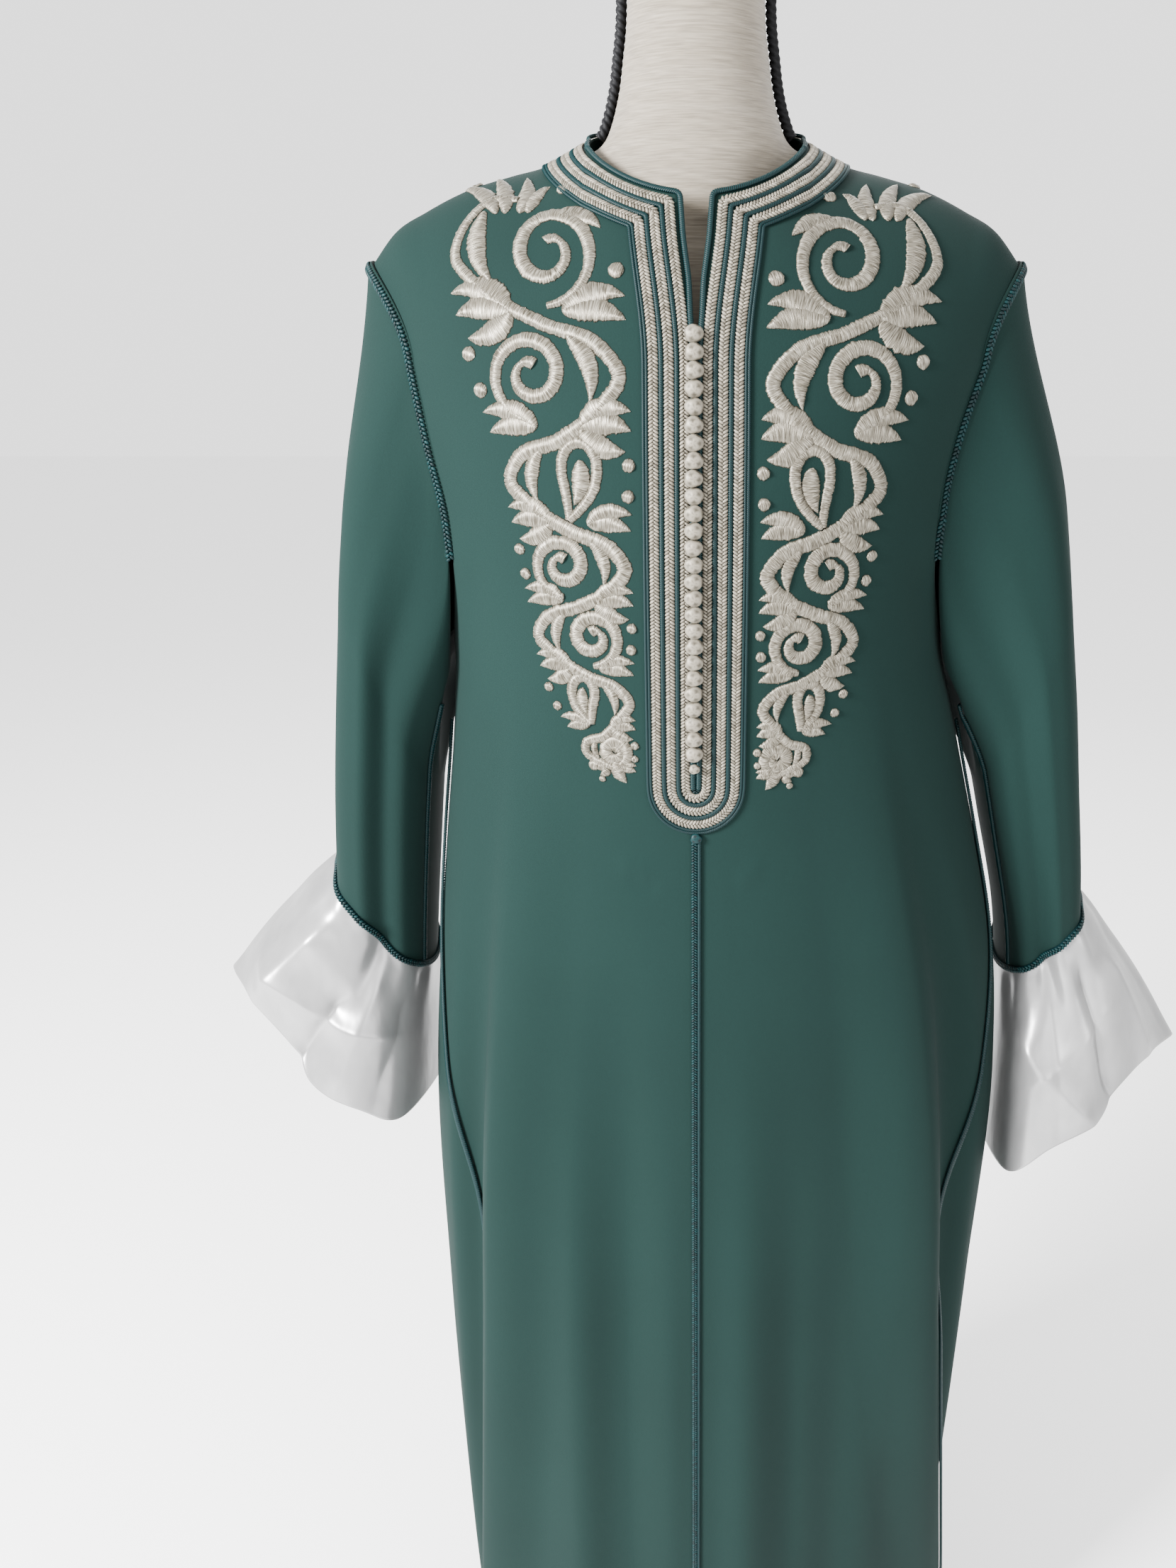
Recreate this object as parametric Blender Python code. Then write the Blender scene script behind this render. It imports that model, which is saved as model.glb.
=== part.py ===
"""A long kaftan worn by a limbless dress form on a round base.

The frame is metres with +Z up. The garment faces -Y and +X is the viewer's right.
The origin is the middle of the base's underside, on the floor.
Every panel is a sheet worked out from section tables and given its real wall,
and what lies on a panel is made from the panel's own surface, moved out.
"""
import bmesh
import bpy
import numpy as np


class Table:
    """A short table: one row for each section or fold, one name for each column."""

    def __init__(self, columns, *rows):
        for index, name in enumerate(columns.split()):
            setattr(self, name, np.array([row[index] for row in rows], dtype=float))


# Walls and clearances
CREPE = 0.0020            # wall of the crepe panels
SATIN = 0.0026            # wall of the doubled satin cuffs
SEAM = 0.0003             # gap between two pieces at a seam
SEAM_SLANT = 0.0012       # the same along a section, where the seam slants across it
LIFT = 0.0012             # gap under a flat braid that lies on a panel
CORD_LIFT = 0.0009        # gap under a round cord, which may lie in a hollow

# Heights
HEM = 0.030
UNDERARM = 1.160
YOKE = 1.360              # from here up the fronts and the back run over the shoulder

# Neck ring, slit and shoulder line
NECK_HALF = 0.0755
NECK_MIDDLE = 0.015       # y of the shoulder seam
NECK_FRONT = 0.079
NECK_BACK = 0.062
NECK_SIDE_HEIGHT = 1.504
NECK_TILT = 0.0245        # how the ring tilts down to the front
NECK_DIP = 0.0145         # how its front and back dip below its sides
SLIT_HALF = 0.0105        # half the slit's width at its top
SEAM_RISE = 0.30          # slope of the cloth across the shoulder seam, at the neck
NECK_SHARE = 0.30         # share of a front's top edge that is neckline

# Neck and slit braids, from the slit outwards
SILVER_WIDE = 0.0068
TEAL_WIDE = 0.0033
EDGE_WIDE = 0.0042
SLOT_HALF = 0.0038
SILVER_HIGH = 0.0018
TEAL_HIGH = 0.0016
EDGE_HIGH = 0.0010        # the cord on the slit's edge, under the buttons
SLIT_END = 1.077          # middle of the round end of the slit

# Buttons
BUTTON_COUNT = 27
BUTTON_TOP = 1.380
BUTTON_PITCH = 0.0110
BUTTON_SIZE = (0.0122, 0.0084, 0.0104)
BUTTON_SHIFT = -0.0015

# Seam cords
CENTRE_WIDE = 0.0070
SEAM_CORD_WIDE = 0.0048
SEAM_CORD_HIGH = 0.0020
ARMHOLE_LIFT = 0.0028     # the armhole seam lies in a bend of the cloth
HOLLOW_LIFT = 0.0020      # the side seams lie in hollows of the cloth
UNDERARM_SEAM = 150.0     # where it runs round the sleeve: 90 is the front, 180 the inside

# Shoulder seam, from the neck to the armhole
SHOULDER = Table(
    "half  height",
    (0.0755, 1.5040),
    (0.089, 1.4970),
    (0.103, 1.4905),
    (0.130, 1.4835),
    (0.158, 1.4755),
    (0.190, 1.4610),
    (0.214, 1.4470),
    (0.233, 1.4250),
)

# Half widths to the left and the right, and depths to the front and the back, by height
BODY = Table(
    "height left  right  front  back",
    (0.030, 0.229, 0.247, 0.158, 0.165),
    (0.300, 0.234, 0.251, 0.150, 0.152),
    (0.550, 0.235, 0.259, 0.140, 0.140),
    (0.780, 0.230, 0.2645, 0.131, 0.128),
    (0.900, 0.218, 0.253, 0.128, 0.118),
    (1.000, 0.2055, 0.229, 0.128, 0.113),
    (1.100, 0.1925, 0.204, 0.130, 0.113),
    (1.160, 0.188, 0.190, 0.131, 0.115),
    (1.250, 0.195, 0.191, 0.130, 0.117),
    (1.310, 0.209, 0.203, 0.123, 0.114),
    (1.360, 0.215, 0.217, 0.113, 0.106),
)

# Where the fronts and the back end at the side, as section angles: 0 front, 90 side, 180 back
EDGES = Table(
    "height front back",
    (0.030, 76.0, 122.0),
    (0.200, 68.0, 119.0),
    (0.300, 63.5, 117.5),
    (0.420, 58.0, 115.5),
    (0.550, 54.5, 113.0),
    (0.650, 57.0, 111.0),
    (0.750, 63.5, 109.0),
    (0.850, 71.0, 107.0),
    (0.950, 79.0, 105.0),
    (1.050, 82.0, 102.0),
    (1.160, 83.0, 98.0),
    (1.180, 76.0, 106.0),
    (1.205, 70.0, 111.0),
    (1.250, 65.5, 114.5),
    (1.310, 64.0, 115.0),
    (1.360, 66.5, 113.0),
)

# Folds of the skirt: section angle at the underarm and at the hem, how late it turns from one
# to the other, the heights where the fold begins and is full, how far it stands out (or in),
# and its width in degrees towards the middle and away from it
FOLDS = Table(
    "side  high  low  bend begins full  depth  near  far",
    (-1, 42.0, 66.0, 2.3, 1.20, 0.62, 0.017, 18.0, 8.0),
    (-1, 53.0, 77.0, 2.3, 1.12, 0.60, -0.014, 8.0, 12.0),
    (-1, 18.0, 19.0, 1.0, 1.02, 0.45, -0.006, 10.0, 10.0),
    (-1, 8.0, 8.5, 1.0, 0.95, 0.40, 0.004, 7.0, 7.0),
    (-1, 128.0, 131.0, 1.0, 1.05, 0.50, 0.012, 13.0, 13.0),
    (-1, 148.0, 150.0, 1.0, 1.05, 0.50, -0.010, 12.0, 12.0),
    (-1, 167.0, 167.0, 1.0, 1.10, 0.50, 0.008, 11.0, 11.0),
    (1, 39.5, 78.0, 2.0, 1.20, 0.62, 0.018, 18.0, 8.0),
    (1, 50.5, 89.0, 2.0, 1.12, 0.60, -0.014, 8.0, 12.0),
    (1, 27.0, 33.0, 1.0, 1.02, 0.45, -0.007, 11.0, 11.0),
    (1, 11.0, 12.0, 1.0, 0.95, 0.40, 0.006, 9.0, 9.0),
    (1, 126.0, 128.0, 1.0, 1.05, 0.50, 0.012, 13.0, 13.0),
    (1, 146.0, 147.0, 1.0, 1.05, 0.50, -0.010, 12.0, 12.0),
    (1, 165.0, 164.0, 1.0, 1.10, 0.50, 0.008, 11.0, 11.0),
)

# The hanging sleeve: distance of its outer edge, and its front and back, by height
SLEEVE = Table(
    "height outer_left outer_right front back",
    (0.860, 0.312, 0.336, -0.030, 0.092),
    (0.960, 0.304, 0.3255, -0.046, 0.092),
    (1.040, 0.295, 0.3135, -0.056, 0.088),
    (1.120, 0.284, 0.302, -0.062, 0.082),
    (1.180, 0.275, 0.292, -0.064, 0.078),
    (1.280, 0.261, 0.275, -0.064, 0.074),
    (1.360, 0.250, 0.258, -0.060, 0.070),
    (1.440, 0.240, 0.240, -0.050, 0.060),
)
SLEEVE_CLEAR = 0.011      # a hanging sleeve from the body
SLEEVE_CLEAR_TOP = 0.0009 # the same just under the armhole

# Folds of a sleeve, as angles round it: 0 outside, 90 front, 180 inside
SLEEVE_FOLDS = Table(
    "side  angle depth half",
    (-1, 48.0, 0.004, 26.0),
    (-1, 100.0, -0.010, 30.0),
    (-1, 250.0, -0.008, 30.0),
    (1, 52.0, 0.004, 26.0),
    (1, 104.0, -0.009, 28.0),
    (1, 252.0, -0.008, 30.0),
)

# Seam of sleeve and cuff: its mean height and how far its outer side rises
CUFF_SEAM = {-1: (0.912, 0.053), 1: (0.894, 0.038)}

# Free edge of each cuff: angle round it, distance from the middle, y and height
CUFF_EDGE = {
    -1: Table(
        "angle reach  y     height",
        (0.0, 0.413, 0.020, 0.8535),
        (30.0, 0.389, -0.015, 0.848),
        (60.0, 0.351, -0.043, 0.8185),
        (90.0, 0.329, -0.058, 0.782),
        (120.0, 0.289, -0.064, 0.7595),
        (150.0, 0.257, -0.045, 0.738),
        (180.0, 0.238, 0.050, 0.732),
        (225.0, 0.262, 0.092, 0.752),
        (270.0, 0.312, 0.112, 0.782),
        (315.0, 0.378, 0.080, 0.822),
    ),
    1: Table(
        "angle reach  y     height",
        (0.0, 0.435, 0.020, 0.782),
        (30.0, 0.3985, -0.015, 0.784),
        (60.0, 0.3685, -0.043, 0.770),
        (90.0, 0.347, -0.058, 0.7475),
        (120.0, 0.306, -0.064, 0.719),
        (150.0, 0.276, -0.045, 0.682),
        (180.0, 0.270, 0.050, 0.672),
        (225.0, 0.292, 0.092, 0.692),
        (270.0, 0.342, 0.112, 0.722),
        (315.0, 0.402, 0.080, 0.758),
    ),
}
CUFF_CROWN = 0.006        # how far a cuff swells between its seam and its edge

# The dress form's trunk: height, half width, depth to the front and to the back, y of its middle
FORM = Table(
    "height half   front  back   middle",
    (0.740, 0.150, 0.094, 0.092, 0.000),
    (0.748, 0.160, 0.102, 0.100, 0.000),
    (0.850, 0.172, 0.110, 0.106, 0.000),
    (0.950, 0.158, 0.100, 0.098, 0.000),
    (1.060, 0.126, 0.090, 0.082, 0.000),
    (1.160, 0.143, 0.104, 0.092, 0.000),
    (1.250, 0.160, 0.114, 0.100, 0.000),
    (1.320, 0.172, 0.104, 0.096, 0.002),
    (1.380, 0.184, 0.084, 0.082, 0.006),
    (1.420, 0.184, 0.062, 0.060, 0.010),
    (1.440, 0.186, 0.052, 0.048, 0.013),
    (1.453, 0.181, 0.042, 0.038, 0.015),
    (1.464, 0.169, 0.038, 0.034, 0.015),
    (1.473, 0.152, 0.034, 0.030, 0.015),
    (1.4807, 0.130, 0.030, 0.026, 0.015),
    (1.4872, 0.104, 0.024, 0.022, 0.015),
    (1.493, 0.086, 0.020, 0.020, 0.015),
    (1.500, 0.066, 0.018, 0.018, 0.016),
    (1.509, 0.048, 0.018, 0.018, 0.016),
    (1.520, 0.036, 0.020, 0.020, 0.018),
    (1.594, 0.028, 0.020, 0.020, 0.022),
)

# Its neck, which rises out of the trunk
NECK = Table(
    "height half   depth",
    (0.740, 0.030, 0.030),
    (1.420, 0.040, 0.040),
    (1.455, 0.056, 0.056),
    (1.480, 0.060, 0.058),
    (1.500, 0.0635, 0.057),
    (1.509, 0.0605, 0.056),
    (1.520, 0.0570, 0.054),
    (1.536, 0.0530, 0.051),
    (1.556, 0.0500, 0.049),
    (1.575, 0.0475, 0.0475),
    (1.594, 0.0465, 0.0465),
)
ROPE_RADIUS = 0.0032
CAP_HEIGHT = 0.012
POLE_RADIUS = 0.0125
BASE_RADIUS = 0.145
BASE_HEIGHT = 0.018

# Colours: red, green and blue in linear light, roughness, metallic
FINISHES = {
    "crepe": ((0.045, 0.145, 0.115), 0.85, 0.0),
    "satin": ((0.80, 0.79, 0.78), 0.35, 0.0),
    "silver_thread": ((0.62, 0.58, 0.50), 0.45, 0.3),
    "teal_cord": ((0.008, 0.110, 0.120), 0.55, 0.0),
    "linen": ((0.72, 0.66, 0.56), 0.90, 0.0),
    "black_rope": ((0.010, 0.010, 0.012), 0.60, 0.0),
    "dark_metal": ((0.020, 0.020, 0.022), 0.45, 0.6),
}


def smooth(x):
    """Ease from 0 to 1: 3x^2 - 2x^3 between 0 and 1, flat outside."""
    x = np.clip(x, 0.0, 1.0)
    return x * x * (3.0 - 2.0 * x)


def through(knots, values, at):
    """A smooth curve through the knots: a cubic between each two, with matched slopes."""
    at = np.clip(at, knots[0], knots[-1])
    slopes = np.gradient(values, knots)
    left = np.clip(np.searchsorted(knots, at, side="right") - 1, 0, len(knots) - 2)
    span = knots[left + 1] - knots[left]
    s = (at - knots[left]) / span
    a = 2 * s**3 - 3 * s**2 + 1
    b = s**3 - 2 * s**2 + s
    c = -2 * s**3 + 3 * s**2
    d = s**3 - s**2
    return (a * values[left] + b * span * slopes[left]
            + c * values[left + 1] + d * span * slopes[left + 1])


def round_through(knots, values, at):
    """The same for a closed curve whose knots are angles in degrees, starting at 0."""
    wide = np.concatenate([knots[-2:] - 360.0, knots, knots[:3] + 360.0])
    high = np.concatenate([values[-2:], values, values[:3]])
    return through(wide, high, np.mod(at, 360.0))


def body_half(side, z):
    """Half width of the body to that side, at height z."""
    return through(BODY.height, BODY.left if side < 0 else BODY.right, z)


def fold_depth(side, angle, z):
    """Sum of the folds at that angle: each is a cosine-squared ridge or hollow."""
    total = np.zeros(np.broadcast(angle, z).shape)
    down = (UNDERARM - z) / (UNDERARM - HEM)
    for k in np.flatnonzero(FOLDS.side == side):
        centre = FOLDS.high[k] + (FOLDS.low[k] - FOLDS.high[k]) * np.clip(down, 0.0, 1.0) ** FOLDS.bend[k]
        strength = smooth((FOLDS.begins[k] - z) / (FOLDS.begins[k] - FOLDS.full[k]))
        wide = np.where(angle < centre, FOLDS.near[k], FOLDS.far[k])
        reach = np.clip(np.abs(angle - centre) / wide, 0.0, 1.0)
        total = total + FOLDS.depth[k] * strength * np.cos(reach * np.pi / 2) ** 2
    return total


def body_point(side, angle, z):
    """A point of the body: an ellipse quarter at height z, pushed in or out by its folds."""
    half = body_half(side, z)
    front = through(BODY.height, BODY.front, z)
    back = through(BODY.height, BODY.back, z)
    depth = np.where(angle <= 90.0, front, back)
    turn = np.radians(angle)
    out_x = np.sin(turn) / half
    out_y = -np.cos(turn) / depth
    size = np.hypot(out_x, out_y)
    fold = fold_depth(side, angle, z)
    x = half * np.sin(turn) + fold * out_x / size
    y = -depth * np.cos(turn) + fold * out_y / size
    return np.stack(np.broadcast_arrays(side * x, y, z), axis=-1)


def neck_ring(side, angle):
    """A point of the neckline: 0 degrees in front, 90 at the shoulder, 180 at the back."""
    turn = np.radians(angle)
    ahead = np.cos(turn)
    x = side * NECK_HALF * np.sin(turn)
    y = NECK_MIDDLE - np.where(ahead > 0, NECK_FRONT, NECK_BACK) * ahead
    z = NECK_SIDE_HEIGHT - NECK_TILT * ahead - NECK_DIP * ahead**2
    return np.stack([x, y, z], axis=-1)


def shoulder_line(side, share):
    """A point of the shoulder seam, from the neck at 0 to the armhole at 1."""
    half = SHOULDER.half[0] + (SHOULDER.half[-1] - SHOULDER.half[0]) * share
    z = through(SHOULDER.half, SHOULDER.height, half)
    return np.stack([side * half, NECK_MIDDLE + 0 * share, z], axis=-1)


def top_edge(side, u, behind):
    """Upper edge of a front (or of half the back): neckline, then shoulder seam."""
    start = np.degrees(np.arcsin(SLIT_HALF / NECK_HALF))
    share = np.clip(u / NECK_SHARE, 0.0, 1.0)
    angle = 180.0 - 90.0 * share if behind else start + (90.0 - start) * share
    neck = neck_ring(side, angle)
    rest = shoulder_line(side, np.clip((u - NECK_SHARE) / (1 - NECK_SHARE), 0.0, 1.0))
    seam_side = SEAM / 2 if behind else -SEAM / 2
    rest = rest + np.array([0.0, seam_side, 0.0])
    return np.where((u <= NECK_SHARE)[..., None], neck, rest)


def panel(side, u, t, behind=False):
    """A point of a front, or of half the back.

    u runs from the middle (0) to the side (1). t runs from the hem (0) to the yoke (1) on
    level sections, then to the neckline and the shoulder seam (2) on a Hermite curve that
    leaves the yoke along the section's own slope and lies level at the shoulder seam.
    """
    u, t = np.broadcast_arrays(np.asarray(u, float), np.asarray(t, float))
    z = HEM + (YOKE - HEM) * np.clip(t, 0.0, 1.0)
    low = section_point(side, u, z, behind)
    step = 0.004
    yoke = section_point(side, u, YOKE + 0 * z, behind)
    slope = (yoke - section_point(side, u, YOKE - step + 0 * z, behind)) / step
    slope[..., 0] *= 0.3
    top = top_edge(side, u, behind)
    reach = np.linalg.norm(top - yoke, axis=-1, keepdims=True)
    leave = slope / np.linalg.norm(slope, axis=-1, keepdims=True) * reach
    over = -1.0 if behind else 1.0
    to_neck = np.clip(1.0 - u / NECK_SHARE, 0.0, 1.0)
    to_arm = np.clip((u - NECK_SHARE) / (1 - NECK_SHARE), 0.0, 1.0)
    rise = over * SEAM_RISE * (1 - to_neck) * (1 - to_arm) ** 2 + (0.52 if behind else 0.87) * to_neck
    arrive = np.stack([0 * u, over * np.sqrt(1 - rise**2), rise], axis=-1) * reach
    s = np.clip(t - 1.0, 0.0, 1.0)[..., None]
    high = ((2 * s**3 - 3 * s**2 + 1) * yoke + (s**3 - 2 * s**2 + s) * leave
            + (3 * s**2 - 2 * s**3) * top + (s**3 - s**2) * arrive)
    return np.where((t <= 1.0)[..., None], low, high)


def section_point(side, u, z, behind):
    """A point of a front or of half the back at height z, up to its own edge."""
    if behind:
        edge = through(EDGES.height, EDGES.back, z)
        angle = 180.0 - u * (180.0 - edge)
        return body_point(side, angle, z)
    edge = through(EDGES.height, EDGES.front, z)
    point = body_point(side, u * edge, z)
    point[..., 0] += side * SEAM / 2 * (1 - u)
    return point


def gore(side, u, z):
    """A point of a side gore: u runs from the front's edge (0) to the back's edge (1)."""
    gap = np.degrees(SEAM_SLANT / 0.20)
    front = through(EDGES.height, EDGES.front, z) + gap
    back = through(EDGES.height, EDGES.back, z) - gap
    return body_point(side, front + (back - front) * u, z)


def normals_of(surface, u, t, side, step=1e-3):
    """Outward unit normals of a surface, from its two tangents."""
    across = surface(u + step, t) - surface(u - step, t)
    along = surface(u, t + step) - surface(u, t - step)
    normal = np.cross(across, along) * side
    return normal / np.linalg.norm(normal, axis=-1, keepdims=True)


def make_object(name, points, faces, finish):
    """One closed mesh as its own object, with its faces turned outwards."""
    mesh = bpy.data.meshes.new(name)
    mesh.from_pydata([tuple(p) for p in np.asarray(points)], [], faces)
    mesh.validate()
    piece = bpy.data.objects.new(name, mesh)
    bpy.context.scene.collection.objects.link(piece)
    mesh.materials.append(MATERIALS[finish])
    body = bmesh.new()
    body.from_mesh(mesh)
    if body.calc_volume(signed=True) < 0:
        bmesh.ops.reverse_faces(body, faces=body.faces)
    body.to_mesh(mesh)
    body.free()
    mesh.shade_smooth()
    mesh.set_sharp_from_angle(angle=np.radians(50))
    return piece


def sheet_solid(name, outer, inner, finish):
    """A wall between two grids of the same size, closed by its four edges."""
    rows, columns = outer.shape[:2]
    points = np.concatenate([outer.reshape(-1, 3), inner.reshape(-1, 3)])
    number = np.arange(rows * columns).reshape(rows, columns)
    other = number + rows * columns
    faces = []
    for grid, order in ((number, 1), (other, -1)):
        quads = np.stack([grid[:-1, :-1], grid[:-1, 1:], grid[1:, 1:], grid[1:, :-1]], axis=-1)
        faces += [tuple(q[::order]) for q in quads.reshape(-1, 4).tolist()]
    rim = np.concatenate([number[0, :], number[1:, -1], number[-1, -2::-1], number[-2:0:-1, 0]])
    far = np.concatenate([other[0, :], other[1:, -1], other[-1, -2::-1], other[-2:0:-1, 0]])
    for a, b, c, d in zip(rim, np.roll(rim, -1), np.roll(far, -1), far):
        faces.append((int(a), int(d), int(c), int(b)))
    return make_object(name, points, faces, finish)


def tube_solid(name, outer, inner, finish):
    """A wall between two grids that close round on themselves, open at both ends."""
    rows, columns = outer.shape[:2]
    points = np.concatenate([outer.reshape(-1, 3), inner.reshape(-1, 3)])
    number = np.arange(rows * columns).reshape(rows, columns)
    other = number + rows * columns
    after = np.roll(number, -1, axis=1)
    other_after = np.roll(other, -1, axis=1)
    faces = []
    for first, second, order in ((number, after, 1), (other, other_after, -1)):
        quads = np.stack([first[:-1], second[:-1], second[1:], first[1:]], axis=-1)
        faces += [tuple(q[::order]) for q in quads.reshape(-1, 4).tolist()]
    for row, order in ((0, -1), (-1, 1)):
        quads = np.stack([number[row], after[row], other_after[row], other[row]], axis=-1)
        faces += [tuple(q[::order]) for q in quads.tolist()]
    return make_object(name, points, faces, finish)


def closed_rings(name, rings, finish):
    """A solid from rings of points, one above the other, capped at both ends."""
    rings = np.asarray(rings)
    rows, columns = rings.shape[:2]
    number = np.arange(rows * columns).reshape(rows, columns)
    after = np.roll(number, -1, axis=1)
    quads = np.stack([number[:-1], after[:-1], after[1:], number[1:]], axis=-1)
    faces = [tuple(q) for q in quads.reshape(-1, 4).tolist()]
    faces.append(tuple(number[0, ::-1].tolist()))
    faces.append(tuple(number[-1].tolist()))
    return make_object(name, rings.reshape(-1, 3), faces, finish)


def band_solid(name, path, normal, wide, high, finish, closed=False, round_cord=False, thin=False):
    """A flat braid, a round cord or a thin ridge laid along a path and mitred at bends."""
    if closed:
        before, after = np.roll(path, 1, axis=0), np.roll(path, -1, axis=0)
    else:
        before = np.concatenate([path[:1] * 2 - path[1:2], path[:-1]])
        after = np.concatenate([path[1:], path[-1:] * 2 - path[-2:-1]])
    came = path - before
    went = after - path
    came = came / np.linalg.norm(came, axis=1, keepdims=True)
    went = went / np.linalg.norm(went, axis=1, keepdims=True)
    side_in = np.cross(normal, came)
    side = np.cross(normal, came + went)
    side = side / np.linalg.norm(side, axis=1, keepdims=True)
    side_in = side_in / np.linalg.norm(side_in, axis=1, keepdims=True)
    side = side / np.clip(np.sum(side * side_in, axis=1, keepdims=True), 0.6, 1.0)
    lift = CORD_LIFT if round_cord else LIFT
    foot = path + normal * lift
    top = path + normal * (lift + high)
    ring = np.stack([foot - side * wide / 2, foot + side * wide / 2,
                     top + side * wide * 0.3, top - side * wide * 0.3], axis=1)
    if thin:
        ring = np.stack([foot - side * wide / 2, foot + side * wide / 2, top], axis=1)
    if round_cord:
        middle = (foot + top) / 2
        ring = np.stack([foot, middle + side * wide / 2, top, middle - side * wide / 2], axis=1)
    if not closed:
        return closed_rings(name, ring, finish)
    rows, sides = ring.shape[:2]
    number = np.arange(rows * sides).reshape(rows, sides)
    nxt = np.roll(number, -1, axis=0)
    quads = np.stack([number, np.roll(number, -1, axis=1), np.roll(nxt, -1, axis=1), nxt], axis=-1)
    return make_object(name, ring.reshape(-1, 3), [tuple(q) for q in quads.reshape(-1, 4).tolist()], finish)


def solve(side, miss, behind=False):
    """Find the spots of a panel where two measures of a point are both zero (Newton's rule)."""
    u, t = np.meshgrid(np.linspace(0, 1, 31), np.linspace(0.6, 2, 57))
    spots = panel(side, u, t, behind).reshape(1, -1, 3)
    nearest = np.argmin((miss(spots) ** 2).sum(-1), axis=1)
    u, t = u.ravel()[nearest], t.ravel()[nearest]
    step = 1e-4
    for _ in range(8):
        here = miss(panel(side, u, t, behind)[:, None])[:, 0]
        du = (miss(panel(side, u + step, t, behind)[:, None])[:, 0] - here) / step
        dt = (miss(panel(side, u, t - step, behind)[:, None])[:, 0] - here) / -step
        det = du[:, 0] * dt[:, 1] - du[:, 1] * dt[:, 0]
        det = np.where(np.abs(det) < 1e-9, 1e-9, det)
        u = u - np.clip((here[:, 0] * dt[:, 1] - here[:, 1] * dt[:, 0]) / det, -0.1, 0.1)
        t = t - np.clip((here[:, 1] * du[:, 0] - here[:, 0] * du[:, 1]) / det, -0.1, 0.1)
        u, t = np.clip(u, 0.0, 1.0), np.clip(t, 0.0, 2.0)
    return u, t


def locate(side, wanted, axes, behind=False):
    """Find where on a panel two of its coordinates have the wanted values."""
    wanted = np.asarray(wanted, float)[:, None]
    return solve(side, lambda spots: spots[..., axes] - wanted, behind)


def panel_with_normal(side, u, t, behind=False):
    """Points of a panel and the outward normals there."""
    u = np.clip(u, 0.002, 0.998)
    t = np.clip(t, 0.002, 1.998)
    turn = -side if behind else side
    normal = normals_of(lambda a, b: panel(side, a, b, behind), u, t, turn)
    at_seam = (t > 1.99) & (u >= NECK_SHARE - 0.01)
    normal[..., 1] = np.where(at_seam, 0.0, normal[..., 1])
    return normal / np.linalg.norm(normal, axis=-1, keepdims=True)


def neck_offset(side, angle, distance, behind=False):
    """Points at one distance from the neckline, measured over the cloth."""
    ring = neck_ring(side, angle)
    ahead = neck_ring(side, angle + 0.5) - neck_ring(side, angle - 0.5)
    out = np.stack([ahead[:, 1], -ahead[:, 0]], axis=-1)
    out = out * np.sign(np.sum(out * (ring[:, :2] - np.array([0.0, NECK_MIDDLE])), axis=1))[:, None]
    out = out / np.linalg.norm(out, axis=1, keepdims=True)
    across = np.stack([-out[:, 1], out[:, 0]], axis=-1)

    def miss(spots):
        gone = spots - ring[:, None]
        off_line = np.sum(gone[..., :2] * across[:, None], axis=-1)
        return np.stack([off_line, np.linalg.norm(gone, axis=-1) - distance], axis=-1)

    u, t = solve(side, miss, behind)
    return panel(side, u, t, behind), panel_with_normal(side, u, t, behind)


def slit_half_at(z):
    """Half the width of the slit at height z, read from a front's own inner edge."""
    t = np.linspace(0.0, 2.0, 400)
    edge = panel(1, 0 * t, t)
    return np.interp(z, edge[:, 2], edge[:, 0])


PLACKET_HEIGHTS = np.array([1.42, 1.40, 1.38, 1.36, 1.33, 1.30, 1.27, 1.24, 1.21, 1.18, 1.15, 1.11])


def half_braid_path(side, distance):
    """Half of a neck-and-slit braid: from the back neck, round the neckline, down the slit."""
    back_angle = np.linspace(180.0, 95.0, 11)
    back, back_normal = neck_offset(side, back_angle, distance, behind=True)
    dense = np.linspace(9.0, 45.0, 25)
    trial, _ = neck_offset(side, dense, distance)
    over = np.abs(trial[:, 0]) - (slit_half_at(trial[:, 2]) + distance)
    corner = np.interp(0.0, over, dense)
    front_angle = np.linspace(88.0, corner, 9)
    front, front_normal = neck_offset(side, front_angle, distance)
    heights = PLACKET_HEIGHTS[PLACKET_HEIGHTS < front[-1, 2] - 0.006]
    x = side * (slit_half_at(heights) + distance)
    u, t = locate(side, np.stack([x, heights], axis=-1), [0, 2])
    down = panel(side, u, t)
    down_normal = panel_with_normal(side, u, t)
    return (np.concatenate([back, front, down]),
            np.concatenate([back_normal, front_normal, down_normal]))


def round_end(distance, steps=9):
    """The round end of a braid, from the left side under the slit to the right side."""
    turn = np.linspace(-90.0, 90.0, steps)
    x = distance * np.sin(np.radians(turn))
    z = SLIT_END - distance * np.cos(np.radians(turn))
    u, t = locate(1, np.stack([np.maximum(np.abs(x), 2 * SEAM), z], axis=-1), [0, 2])
    points = panel(1, u, t)
    normals = panel_with_normal(1, u, t)
    points[:, 0] = x
    normals[:, 0] = normals[:, 0] * np.sign(x)
    return points, normals


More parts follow.
